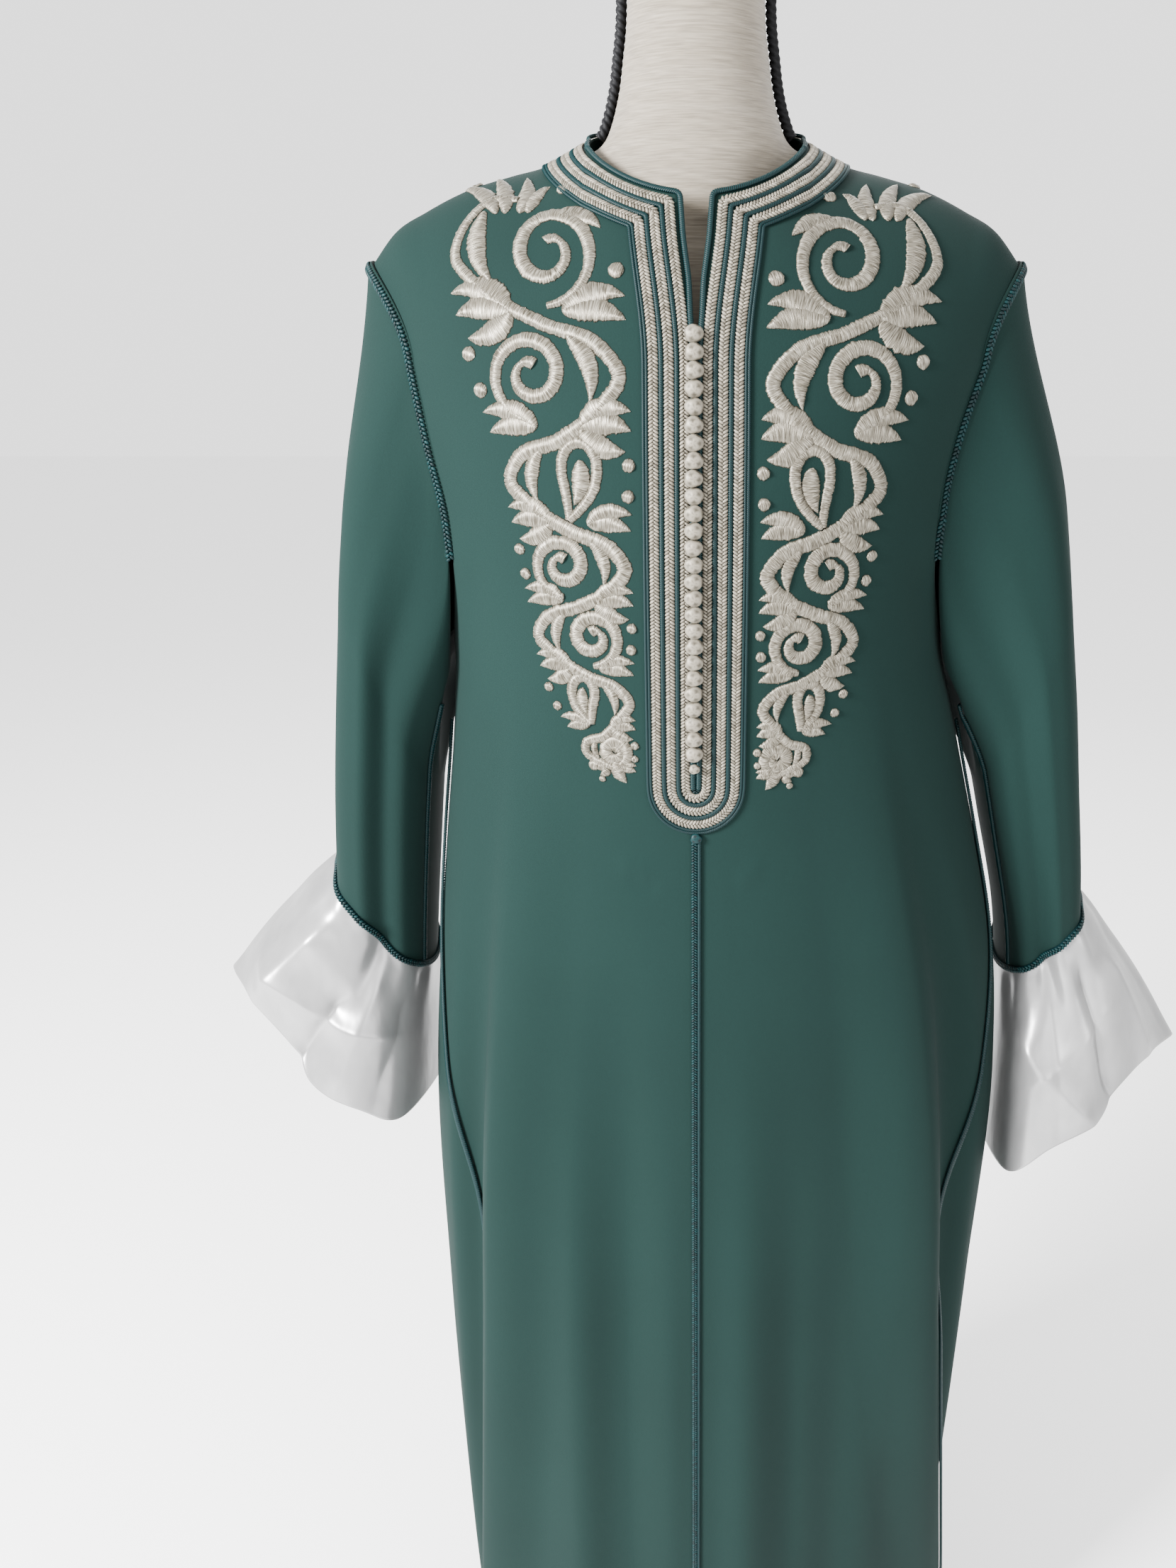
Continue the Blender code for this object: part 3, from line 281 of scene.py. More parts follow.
stitch_silver = new_finish("satin_stitch_silver", (0.26, 0.245, 0.21), 0.42, Metallic=0.55,
                           Specular_IOR_Level=0.3, Anisotropic=0.7)
grain_way = add_node(stitch_silver, "Tangent", direction_type="UV_MAP")
join(stitch_silver, grain_way, "Tangent", shader_of(stitch_silver), "Tangent")
threads = noise(stitch_silver, coordinates(stitch_silver, "UV", (1700.0, 1.4, 1.0)), 1.0, 2.0, 0.6)
patches = noise(stitch_silver, coordinates(stitch_silver, "UV", (160.0, 0.8, 1.0)), 1.0, 2.0)
# The thread stripes are the threads' own tone and painted shade: darker in the gaps between threads,
# where the bump is low.
fine = ramp(stitch_silver, threads, "Fac",
            [(0.34, (0.040, 0.034, 0.024)), (0.50, (0.140, 0.126, 0.098)), (0.66, (0.30, 0.28, 0.232))])
broad = ramp(stitch_silver, patches, "Fac", [(0.3, (0.82, 0.81, 0.79)), (0.7, (1.0, 1.0, 1.0))])
multiplied(stitch_silver, fine, broad)
bump_from(stitch_silver, threads, "Fac", 0.9, 0.0006)

# %% [markdown]
# ### Teal cord, linen, rope and paint
# The cords are dark rayon with a bright highlight. Along each twisted cord and rope the colour
# is painted lighter on the strands' crests and darker in the grooves between them: painted shade.
# The dress form wears unbleached linen with a fine horizontal rib and slubs, and its stand is painted
# black.

# %% Teal cord, linen, rope and paint
cord_teal = new_finish("twisted_teal", (0.0010, 0.014, 0.015), 0.48, Specular_IOR_Level=0.14)
# On twisted cords and knots the shade attribute is painted shade, lighter crests and darker grooves; on
# plaits it is random strand tone.
colour_from(cord_teal, shades(cord_teal, (0.0003, 0.0022, 0.0026), (0.0012, 0.017, 0.0185)))
bump_from(cord_teal, noise(cord_teal, coordinates(cord_teal), 2600.0, 1.0), "Fac", 0.4, 0.0002)

ground_teal = new_finish("teal_ground", (0.001, 0.008, 0.010), 0.9, Specular_IOR_Level=0.05)
colour_from(ground_teal, ramp(ground_teal, noise(ground_teal, coordinates(ground_teal), 1500.0), "Fac",
                              [(0.3, (0.0006, 0.005, 0.006)), (0.7, (0.0012, 0.010, 0.012))]))

linen = new_finish("bare_linen", (0.70, 0.65, 0.57), 0.88, Sheen_Weight=0.2)
weft = noise(linen, coordinates(linen, scale=(60.0, 60.0, 1100.0)), 1.0, 2.0)
slub = noise(linen, coordinates(linen, scale=(14.0, 14.0, 260.0)), 1.0, 3.0)
rib = ramp(linen, weft, "Fac", [(0.3, (0.125, 0.106, 0.080)), (0.7, (0.21, 0.183, 0.143))])
stain = ramp(linen, slub, "Fac", [(0.3, (0.84, 0.82, 0.79)), (0.7, (1.0, 1.0, 1.0))])
multiplied(linen, rib, stain)
bump_from(linen, weft, "Fac", 0.5, 0.0005)

rope_black = new_finish("braided_black", (0.004, 0.004, 0.005), 0.60, Specular_IOR_Level=0.12)
# On the ropes the shade attribute is painted shade: lighter crests, darker grooves.
colour_from(rope_black, shades(rope_black, (0.0015, 0.0015, 0.0020), (0.0070, 0.0070, 0.0080)))
bump_from(rope_black, noise(rope_black, coordinates(rope_black), 1800.0), "Fac", 0.4, 0.0003)

paint_black = new_finish("black_paint", (0.022, 0.022, 0.024), 0.50, Coat_Weight=0.08,
                         Coat_Roughness=0.4, Specular_IOR_Level=0.2)
specks = noise(paint_black, coordinates(paint_black), 420.0, 3.0)
colour_from(paint_black, ramp(paint_black, specks, "Fac",
                              [(0.3, (0.006, 0.006, 0.007)), (0.7, (0.012, 0.012, 0.013))]))
bump_from(paint_black, specks, "Fac", 0.15, 0.0003)
print("finishes", len(bpy.data.materials))

# %% [markdown]
# ## The garment's sections
# The same short tables that shape the solids: how wide and deep the body is at each
# height, where the panels end, where the folds run, and how the sleeves and cuffs hang.
# A smooth curve runs through the rows of a table.

# %% Sizes and tables
class Table:
    """A short table: one row for each section or fold, one name for each column."""

    def __init__(self, columns, *rows):
        for index, name in enumerate(columns.split()):
            setattr(self, name, np.array([row[index] for row in rows], dtype=float))


# Clearances
SEAM = 0.0003             # gap between two pieces at a seam
LIFT = 0.0012             # gap under a flat braid that lies on a panel

# Heights
HEM = 0.030
UNDERARM = 1.160
YOKE = 1.360              # from here up the fronts and the back run over the shoulder

# Neck ring, slit and shoulder line
NECK_HALF = 0.0755
NECK_MIDDLE = 0.015       # y of the shoulder seam
NECK_FRONT = 0.079
NECK_BACK = 0.062
NECK_SIDE_HEIGHT = 1.504
NECK_TILT = 0.0245        # how the ring tilts down to the front
NECK_DIP = 0.0145         # how its front and back dip below its sides
SLIT_HALF = 0.0105        # half the slit's width at its top
SEAM_RISE = 0.30          # slope of the cloth across the shoulder seam, at the neck
NECK_SHARE = 0.30         # share of a front's top edge that is neckline

# Neck and slit braids, from the slit outwards
SILVER_WIDE = 0.0068
TEAL_WIDE = 0.0033
EDGE_WIDE = 0.0042
SLOT_HALF = 0.0038
SILVER_HIGH = 0.0018
SLIT_END = 1.077          # middle of the round end of the slit

# Buttons
BUTTON_COUNT = 27
BUTTON_TOP = 1.380
BUTTON_PITCH = 0.0110
BUTTON_SIZE = (0.0122, 0.0084, 0.0104)
BUTTON_SHIFT = -0.0015

# Seam cords
SEAM_CORD_WIDE = 0.0048
UNDERARM_SEAM = 150.0     # where it runs round the sleeve: 90 is the front, 180 the inside


# %% Tables of the body
# Shoulder seam, from the neck to the armhole
SHOULDER = Table(
    "half  height",
    (0.0755, 1.5040),
    (0.089, 1.4970),
    (0.103, 1.4905),
    (0.130, 1.4835),
    (0.158, 1.4755),
    (0.190, 1.4610),
    (0.214, 1.4470),
    (0.233, 1.4250),
)

# Half widths to the left and the right, and depths to the front and the back, by height
BODY = Table(
    "height left  right  front  back",
    (0.030, 0.229, 0.247, 0.158, 0.165),
    (0.300, 0.234, 0.251, 0.150, 0.152),
    (0.550, 0.235, 0.259, 0.140, 0.140),
    (0.780, 0.230, 0.2645, 0.131, 0.128),
    (0.900, 0.218, 0.253, 0.128, 0.118),
    (1.000, 0.2055, 0.229, 0.128, 0.113),
    (1.100, 0.1925, 0.204, 0.130, 0.113),
    (1.160, 0.188, 0.190, 0.131, 0.115),
    (1.250, 0.195, 0.191, 0.130, 0.117),
    (1.310, 0.209, 0.203, 0.123, 0.114),
    (1.360, 0.215, 0.217, 0.113, 0.106),
)

# Where the fronts and the back end at the side, as section angles: 0 front, 90 side, 180 back
EDGES = Table(
    "height front back",
    (0.030, 76.0, 122.0),
    (0.200, 68.0, 119.0),
    (0.300, 63.5, 117.5),
    (0.420, 58.0, 115.5),
    (0.550, 54.5, 113.0),
    (0.650, 57.0, 111.0),
    (0.750, 63.5, 109.0),
    (0.850, 71.0, 107.0),
    (0.950, 79.0, 105.0),
    (1.050, 82.0, 102.0),
    (1.160, 83.0, 98.0),
    (1.180, 76.0, 106.0),
    (1.205, 70.0, 111.0),
    (1.250, 65.5, 114.5),
    (1.310, 64.0, 115.0),
    (1.360, 66.5, 113.0),
)

# Folds of the skirt: section angle at the underarm and at the hem, how late it turns from one
# to the other, the heights where the fold begins and is full, how far it stands out (or in),
# and its width in degrees towards the middle and away from it
FOLDS = Table(
    "side  high  low  bend begins full  depth  near  far",
    (-1, 42.0, 66.0, 2.3, 1.20, 0.62, 0.017, 18.0, 8.0),
    (-1, 53.0, 77.0, 2.3, 1.12, 0.60, -0.014, 8.0, 12.0),
    (-1, 18.0, 19.0, 1.0, 1.02, 0.45, -0.006, 10.0, 10.0),
    (-1, 8.0, 8.5, 1.0, 0.95, 0.40, 0.004, 7.0, 7.0),
    (-1, 128.0, 131.0, 1.0, 1.05, 0.50, 0.012, 13.0, 13.0),
    (-1, 148.0, 150.0, 1.0, 1.05, 0.50, -0.010, 12.0, 12.0),
    (-1, 167.0, 167.0, 1.0, 1.10, 0.50, 0.008, 11.0, 11.0),
    (1, 39.5, 78.0, 2.0, 1.20, 0.62, 0.018, 18.0, 8.0),
    (1, 50.5, 89.0, 2.0, 1.12, 0.60, -0.014, 8.0, 12.0),
    (1, 27.0, 33.0, 1.0, 1.02, 0.45, -0.007, 11.0, 11.0),
    (1, 11.0, 12.0, 1.0, 0.95, 0.40, 0.006, 9.0, 9.0),
    (1, 126.0, 128.0, 1.0, 1.05, 0.50, 0.012, 13.0, 13.0),
    (1, 146.0, 147.0, 1.0, 1.05, 0.50, -0.010, 12.0, 12.0),
    (1, 165.0, 164.0, 1.0, 1.10, 0.50, 0.008, 11.0, 11.0),
)

# %% Tables of the sleeves and cuffs
# The hanging sleeve: distance of its outer edge, and its front and back, by height
SLEEVE = Table(
    "height outer_left outer_right front back",
    (0.860, 0.312, 0.336, -0.030, 0.092),
    (0.960, 0.304, 0.3255, -0.046, 0.092),
    (1.040, 0.295, 0.3135, -0.056, 0.088),
    (1.120, 0.284, 0.302, -0.062, 0.082),
    (1.180, 0.275, 0.292, -0.064, 0.078),
    (1.280, 0.261, 0.275, -0.064, 0.074),
    (1.360, 0.250, 0.258, -0.060, 0.070),
    (1.440, 0.240, 0.240, -0.050, 0.060),
)
SLEEVE_CLEAR = 0.011      # a hanging sleeve from the body
SLEEVE_CLEAR_TOP = 0.0009 # the same just under the armhole

# Folds of a sleeve, as angles round it: 0 outside, 90 front, 180 inside
SLEEVE_FOLDS = Table(
    "side  angle depth half",
    (-1, 48.0, 0.004, 26.0),
    (-1, 100.0, -0.010, 30.0),
    (-1, 250.0, -0.008, 30.0),
    (1, 52.0, 0.004, 26.0),
    (1, 104.0, -0.009, 28.0),
    (1, 252.0, -0.008, 30.0),
)

# Seam of sleeve and cuff: its mean height and how far its outer side rises
CUFF_SEAM = {-1: (0.912, 0.053), 1: (0.894, 0.038)}

# Free edge of each cuff: angle round it, distance from the middle, y and height
CUFF_EDGE = {
    -1: Table(
        "angle reach  y     height",
        (0.0, 0.413, 0.020, 0.8535),
        (30.0, 0.389, -0.015, 0.848),
        (60.0, 0.351, -0.043, 0.8185),
        (90.0, 0.329, -0.058, 0.782),
        (120.0, 0.289, -0.064, 0.7595),
        (150.0, 0.257, -0.045, 0.738),
        (180.0, 0.238, 0.050, 0.732),
        (225.0, 0.262, 0.092, 0.752),
        (270.0, 0.312, 0.112, 0.782),
        (315.0, 0.378, 0.080, 0.822),
    ),
    1: Table(
        "angle reach  y     height",
        (0.0, 0.435, 0.020, 0.782),
        (30.0, 0.3985, -0.015, 0.784),
        (60.0, 0.3685, -0.043, 0.770),
        (90.0, 0.347, -0.058, 0.7475),
        (120.0, 0.306, -0.064, 0.719),
        (150.0, 0.276, -0.045, 0.682),
        (180.0, 0.270, 0.050, 0.672),
        (225.0, 0.292, 0.092, 0.692),
        (270.0, 0.342, 0.112, 0.722),
        (315.0, 0.402, 0.080, 0.758),
    ),
}
CUFF_CROWN = 0.006        # how far a cuff swells between its seam and its edge
print("sections", len(BODY.height), "folds", len(FOLDS.side))

# %% Curves through a table
def unit(vectors):
    """Each vector divided by its length."""
    return vectors / np.linalg.norm(vectors, axis=-1, keepdims=True)


def run_along(path):
    """Length along a path at each of its points, from 0."""
    return np.concatenate([[0.0], np.cumsum(np.linalg.norm(np.diff(path, axis=0), axis=1))])


def smooth(x):
    """Ease from 0 to 1: 3x^2 - 2x^3 between 0 and 1, flat outside."""
    x = np.clip(x, 0.0, 1.0)
    return x * x * (3.0 - 2.0 * x)


def through(knots, values, at):
    """A smooth curve through the knots: a cubic between each two, with matched slopes."""
    at = np.clip(at, knots[0], knots[-1])
    slopes = np.gradient(values, knots)
    left = np.clip(np.searchsorted(knots, at, side="right") - 1, 0, len(knots) - 2)
    span = knots[left + 1] - knots[left]
    s = (at - knots[left]) / span
    a = 2 * s**3 - 3 * s**2 + 1
    b = s**3 - 2 * s**2 + s
    c = -2 * s**3 + 3 * s**2
    d = s**3 - s**2
    return (a * values[left] + b * span * slopes[left]
            + c * values[left + 1] + d * span * slopes[left + 1])


def round_through(knots, values, at):
    """The same for a closed curve whose knots are angles in degrees, starting at 0."""
    wide = np.concatenate([knots[-2:] - 360.0, knots, knots[:3] + 360.0])
    high = np.concatenate([values[-2:], values, values[:3]])
    return through(wide, high, np.mod(at, 360.0))

# %% [markdown]
# ## Body, neck and shoulder
# Up to the yoke every level section is two ellipse quarters with the folds pushed in or
# out along their normal. Above it the fronts and the back run on a Hermite curve to the
# neckline and the shoulder seam. A point is always a function of two parameters, so the
# cloth, the braids and the embroidery all read the same surface.

# %% Body sections
def body_half(side, z):
    """Half width of the body to that side, at height z."""
    return through(BODY.height, BODY.left if side < 0 else BODY.right, z)


def fold_depth(side, angle, z):
    """Sum of the folds at that angle: each is a cosine-squared ridge or hollow."""
    total = np.zeros(np.broadcast(angle, z).shape)
    down = (UNDERARM - z) / (UNDERARM - HEM)
    for k in np.flatnonzero(FOLDS.side == side):
        centre = FOLDS.high[k] + (FOLDS.low[k] - FOLDS.high[k]) * np.clip(down, 0.0, 1.0) ** FOLDS.bend[k]
        strength = smooth((FOLDS.begins[k] - z) / (FOLDS.begins[k] - FOLDS.full[k]))
        wide = np.where(angle < centre, FOLDS.near[k], FOLDS.far[k])
        reach = np.clip(np.abs(angle - centre) / wide, 0.0, 1.0)
        total = total + FOLDS.depth[k] * strength * np.cos(reach * np.pi / 2) ** 2
    return total


def body_point(side, angle, z):
    """A point of the body: an ellipse quarter at height z, pushed in or out by its folds."""
    half = body_half(side, z)
    front = through(BODY.height, BODY.front, z)
    back = through(BODY.height, BODY.back, z)
    depth = np.where(angle <= 90.0, front, back)
    turn = np.radians(angle)
    out_x = np.sin(turn) / half
    out_y = -np.cos(turn) / depth
    size = np.hypot(out_x, out_y)
    fold = fold_depth(side, angle, z)
    x = half * np.sin(turn) + fold * out_x / size
    y = -depth * np.cos(turn) + fold * out_y / size
    return np.stack(np.broadcast_arrays(side * x, y, z), axis=-1)

# %% Neckline and shoulder
def neck_ring(side, angle):
    """A point of the neckline: 0 degrees in front, 90 at the shoulder, 180 at the back."""
    turn = np.radians(angle)
    ahead = np.cos(turn)
    x = side * NECK_HALF * np.sin(turn)
    y = NECK_MIDDLE - np.where(ahead > 0, NECK_FRONT, NECK_BACK) * ahead
    z = NECK_SIDE_HEIGHT - NECK_TILT * ahead - NECK_DIP * ahead**2
    return np.stack([x, y, z], axis=-1)


def shoulder_line(side, share):
    """A point of the shoulder seam, from the neck at 0 to the armhole at 1."""
    half = SHOULDER.half[0] + (SHOULDER.half[-1] - SHOULDER.half[0]) * share
    z = through(SHOULDER.half, SHOULDER.height, half)
    return np.stack([side * half, NECK_MIDDLE + 0 * share, z], axis=-1)


def top_edge(side, u, behind):
    """Upper edge of a front (or of half the back): neckline, then shoulder seam."""
    start = np.degrees(np.arcsin(SLIT_HALF / NECK_HALF))
    share = np.clip(u / NECK_SHARE, 0.0, 1.0)
    angle = 180.0 - 90.0 * share if behind else start + (90.0 - start) * share
    neck = neck_ring(side, angle)
    rest = shoulder_line(side, np.clip((u - NECK_SHARE) / (1 - NECK_SHARE), 0.0, 1.0))
    seam_side = SEAM / 2 if behind else -SEAM / 2
    rest = rest + np.array([0.0, seam_side, 0.0])
    return np.where((u <= NECK_SHARE)[..., None], neck, rest)

# %% [markdown]
# Real crepe also carries small soft creases. A few are added to the sections as narrow
# ridges along a line: by the arm, below the tail of the embroidery and in the skirt.

# %% Creases of the cloth
CREASES = Table(
    "side  high_x high_z low_x  low_z  depth   half",
    (-1, 0.168, 1.265, 0.186, 1.130, 0.0030, 0.014),
    (-1, 0.158, 1.240, 0.170, 1.110, -0.0022, 0.012),
    (1, 0.170, 1.285, 0.186, 1.150, 0.0030, 0.014),
    (1, 0.160, 1.250, 0.172, 1.120, -0.0022, 0.012),
    (-1, 0.060, 1.020, 0.030, 1.004, 0.0010, 0.005),
    (-1, 0.052, 1.008, 0.026, 0.994, -0.0009, 0.005),
    (1, 0.050, 1.018, 0.028, 1.000, 0.0008, 0.005),
    (-1, 0.054, 1.000, 0.030, -0.400, -0.0075, 0.026),
    (-1, 0.098, 0.960, 0.112, -0.400, 0.0065, 0.026),
    (-1, 0.020, 0.860, 0.020, -0.400, 0.0024, 0.016),
    (1, 0.038, 0.960, 0.044, -0.400, 0.0036, 0.020),
    (1, 0.076, 0.900, 0.094, -0.400, -0.0040, 0.026),
    (1, 0.130, 1.000, 0.160, -0.400, 0.0030, 0.022),
)


def crease_depth(side, x, z):
    """Sum of the creases at a point of the front: a bell across each line, fading at its ends."""
    total = np.zeros(np.broadcast(x, z).shape)
    for k in np.flatnonzero(CREASES.side == side):
        start = np.array([CREASES.high_x[k], CREASES.high_z[k]])
        line = np.array([CREASES.low_x[k], CREASES.low_z[k]]) - start
        length = np.hypot(*line)
        line = line / length
        along = (np.abs(x) - start[0]) * line[0] + (z - start[1]) * line[1]
        aside = (np.abs(x) - start[0]) * line[1] - (z - start[1]) * line[0]
        fade = smooth(along / (0.3 * length)) * smooth((length - along) / (0.3 * length))
        total = total + CREASES.depth[k] * fade * np.exp(-(aside / CREASES.half[k]) ** 2)
    return total


def section_point(side, u, z, behind):
    """A point of a front or of half the back at height z, up to its own edge."""
    if behind:
        edge = through(EDGES.height, EDGES.back, z)
        return body_point(side, 180.0 - u * (180.0 - edge), z)
    edge = through(EDGES.height, EDGES.front, z)
    point = body_point(side, u * edge, z)
    point[..., 1] -= crease_depth(side, point[..., 0], point[..., 2])
    point[..., 0] += side * SEAM / 2 * (1 - u)
    return point


# %% Fronts and back
def panel(side, u, t, behind=False):
    """A point of a front, or of half the back.

    u runs from the middle (0) to the side (1). t runs from the hem (0) to the yoke (1) on
    level sections, then to the neckline and the shoulder seam (2) on a Hermite curve that
    leaves the yoke along the section's own slope and lies level at the shoulder seam.
    """
    u, t = np.broadcast_arrays(np.asarray(u, float), np.asarray(t, float))
    z = HEM + (YOKE - HEM) * np.clip(t, 0.0, 1.0)
    low = section_point(side, u, z, behind)
    step = 0.004
    yoke = section_point(side, u, YOKE + 0 * z, behind)
    slope = (yoke - section_point(side, u, YOKE - step + 0 * z, behind)) / step
    slope[..., 0] *= 0.3
    top = top_edge(side, u, behind)
    reach = np.linalg.norm(top - yoke, axis=-1, keepdims=True)
    leave = unit(slope) * reach
    over = -1.0 if behind else 1.0
    to_neck = np.clip(1.0 - u / NECK_SHARE, 0.0, 1.0)
    to_arm = np.clip((u - NECK_SHARE) / (1 - NECK_SHARE), 0.0, 1.0)
    rise = over * SEAM_RISE * (1 - to_neck) * (1 - to_arm) ** 2 + (0.52 if behind else 0.87) * to_neck
    arrive = np.stack([0 * u, over * np.sqrt(1 - rise**2), rise], axis=-1) * reach
    s = np.clip(t - 1.0, 0.0, 1.0)[..., None]
    high = ((2 * s**3 - 3 * s**2 + 1) * yoke + (s**3 - 2 * s**2 + s) * leave
            + (3 * s**2 - 2 * s**3) * top + (s**3 - s**2) * arrive)
    return np.where((t <= 1.0)[..., None], low, high)


def gore(side, u, z):
    """A point of a side gore: u runs from the front's edge (0) to the back's edge (1).

    The sheets meet edge to edge here, where the solids keep a gap.
    """
    front = through(EDGES.height, EDGES.front, z)
    back = through(EDGES.height, EDGES.back, z)
    return body_point(side, front + (back - front) * u, z)

# %% Normals
def normals_of(surface, u, t, side, step=1e-3):
    """Outward unit normals of a surface, from its two tangents."""
    across = surface(u + step, t) - surface(u - step, t)
    along = surface(u, t + step) - surface(u, t - step)
    return unit(np.cross(across, along) * side)


def panel_with_normal(side, u, t, behind=False):
    """Points of a panel and the outward normals there."""
    u = np.clip(u, 0.002, 0.998)
    t = np.clip(t, 0.002, 1.998)
    turn = -side if behind else side
    normal = normals_of(lambda a, b: panel(side, a, b, behind), u, t, turn)
    at_seam = (t > 1.99) & (u >= NECK_SHARE - 0.01)
    normal[..., 1] = np.where(at_seam, 0.0, normal[..., 1])
    return unit(normal)

# %% [markdown]
# ## Sheets of cloth
# A panel is a fine grid of points on its surface with a Solidify modifier for the real
# wall, which keeps the mesh small and both faces smooth. Its UV map is in metres along
# and across the cut, measured from the grid.

# %% Mesh helpers
def link(name, points, faces, finishes, uv=None, face_finish=None):
    """A smooth mesh object from points and faces, riding on the root body."""
    mesh = bpy.data.meshes.new(name)
    mesh.from_pydata(np.asarray(points).reshape(-1, 3).tolist(), [], np.asarray(faces).tolist())
    piece = bpy.data.objects.new(name, mesh)
    bpy.context.scene.collection.objects.link(piece)
    for finish in finishes:
        mesh.materials.append(finish)
    if face_finish is not None:
        mesh.polygons.foreach_set("material_index", np.asarray(face_finish, dtype=np.int32))
    if uv is not None:
        corners = np.empty(len(mesh.loops), dtype=np.int32)
        mesh.loops.foreach_get("vertex_index", corners)
        layer = mesh.uv_layers.new(name="UVMap")
        layer.data.foreach_set("uv", np.asarray(uv).reshape(-1, 2)[corners].ravel())
    mesh.polygons.foreach_set("use_smooth", np.ones(len(mesh.polygons), dtype=bool))
    mesh.update()
    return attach(piece, "root")


def grid_faces(rows, columns, round_shut=False):
    """Quads of a grid, each wound so that columns x rows points outwards."""
    number = np.arange(rows * columns).reshape(rows, columns)
    after = np.roll(number, -1, axis=1) if round_shut else number[:, 1:]
    number = number if round_shut else number[:, :-1]
    return np.stack([number[:-1], after[:-1], after[1:], number[1:]], axis=-1).reshape(-1, 4)


def end_lids(rows, columns):
    """Quads that shut the first and last ring of a round grid, fanned from one corner."""
    k = np.arange(1, columns - 2, 2)
    fan = np.stack([0 * k, k, k + 1, k + 2], axis=-1)
    return np.concatenate([fan[:, ::-1], (rows - 1) * columns + fan])


def closed_faces(rows, columns):
    """A round grid with both of its ends shut."""
    return np.concatenate([grid_faces(rows, columns, round_shut=True), end_lids(rows, columns)])


def cloth(name, points, finish, wall, nodes, round_shut=False, flip=False):
    """A sheet of cloth from a grid of points, with its wall and a UV map in metres along and across it.
    """
    rows, columns = points.shape[:2]
    across = np.linalg.norm(np.diff(points, axis=1), axis=-1)
    along = np.linalg.norm(np.diff(points, axis=0), axis=-1)
    u = np.concatenate([[0.0], np.cumsum(across.mean(axis=0))])
    v = np.concatenate([[0.0], np.cumsum(along.mean(axis=1))])
    uv = np.stack(np.meshgrid(u, v), axis=-1)
    faces = grid_faces(rows, columns, round_shut)
    if flip:
        faces = faces[:, ::-1]
    piece = link(name, points, faces, [finish], uv)
    solid = piece.modifiers.new("wall", "SOLIDIFY")
    solid.thickness = wall
    solid.offset = -1.0
    solid.use_even_offset = False
    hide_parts(*nodes)
    return piece


# %% [markdown]
# ## Fronts, back and gores
# The maker cuts two fronts, one back and two side gores. The rows are closer where the
# yoke turns over the shoulder and where the folds begin.

# %% Fronts, back and gores
CREPE_WALL = 0.0014        # the visual walls are a little thinner than the solids'
SATIN_WALL = 0.0016
FINE_ROWS = np.concatenate([np.linspace(0.0, 1.0, 200), np.linspace(1.0, 2.0, 66)[1:]])
FINE_COLUMNS = np.linspace(0.0, 1.0, 96)
for side, word in ((-1, "left"), (1, "right")):
    u, t = np.meshgrid(FINE_COLUMNS, FINE_ROWS)
    cloth("front_" + word + "_cloth", panel(side, u, t), crepe, CREPE_WALL, ["front_" + word],
          flip=side < 0)
    u, z = np.meshgrid(np.linspace(0.0, 1.0, 40), np.linspace(HEM, UNDERARM, 170))
    cloth("gore_" + word + "_cloth", gore(side, u, z), crepe, CREPE_WALL, ["gore_" + word],
          flip=side < 0)

half = np.linspace(0.0, 1.0, 64)
u, t = np.meshgrid(half, FINE_ROWS)
left, right = panel(-1, u, t, behind=True), panel(1, u, t, behind=True)
both = np.concatenate([left[:, :0:-1], (left[:, :1] + right[:, :1]) / 2, right[:, 1:]], axis=1)
cloth("back_cloth", both, crepe, CREPE_WALL, ["back"], flip=True)

# %% [markdown]
# ## Sleeves and cuffs
# A sleeve leaves the armhole's edge and becomes a flat hanging tube with long soft folds.
# The cuff is gathered into it and flares out, so its small pleats are deepest just below
# the seam and open out towards the free edge, where a few broad waves remain.

# %% Armhole and sleeve
def height_to_t(z):
    """The panels' t for a level section at height z."""
    return (z - HEM) / (YOKE - HEM)


def armhole(side, angle):
    """The armhole's edge and its normals: 0 degrees at the shoulder, 90 in front, 180 under the arm."""
    t = np.concatenate([height_to_t(np.linspace(UNDERARM, YOKE, 20)), np.linspace(1.03, 2.0, 20)])
    u = np.linspace(0.1, 0.9, 5)
    z = UNDERARM + 0 * u
    under_normal = normals_of(lambda a, b: gore(side, a, b), u, z, side)
    loop = np.concatenate([panel(side, 0 * t + 1.0, t)[::-1], gore(side, u, z),
                           panel(side, 0 * t + 1.0, t, behind=True)])
    normal = np.concatenate([panel_with_normal(side, 0 * t + 1.0, t)[::-1], under_normal,
                             panel_with_normal(side, 0 * t + 1.0, t, behind=True)])
    length = run_along(loop)
    at = np.mod(angle, 360.0) / 360.0 * length[-1]
    return tuple(np.stack([np.interp(at, length, row[:, k]) for k in range(3)], axis=-1)
                 for row in (loop, normal))


def cuff_seam_height(side, angle):
    """Height of the seam between sleeve and cuff, higher on the outside."""
    middle, rise = CUFF_SEAM[side]
    return middle + rise * np.cos(np.radians(angle))


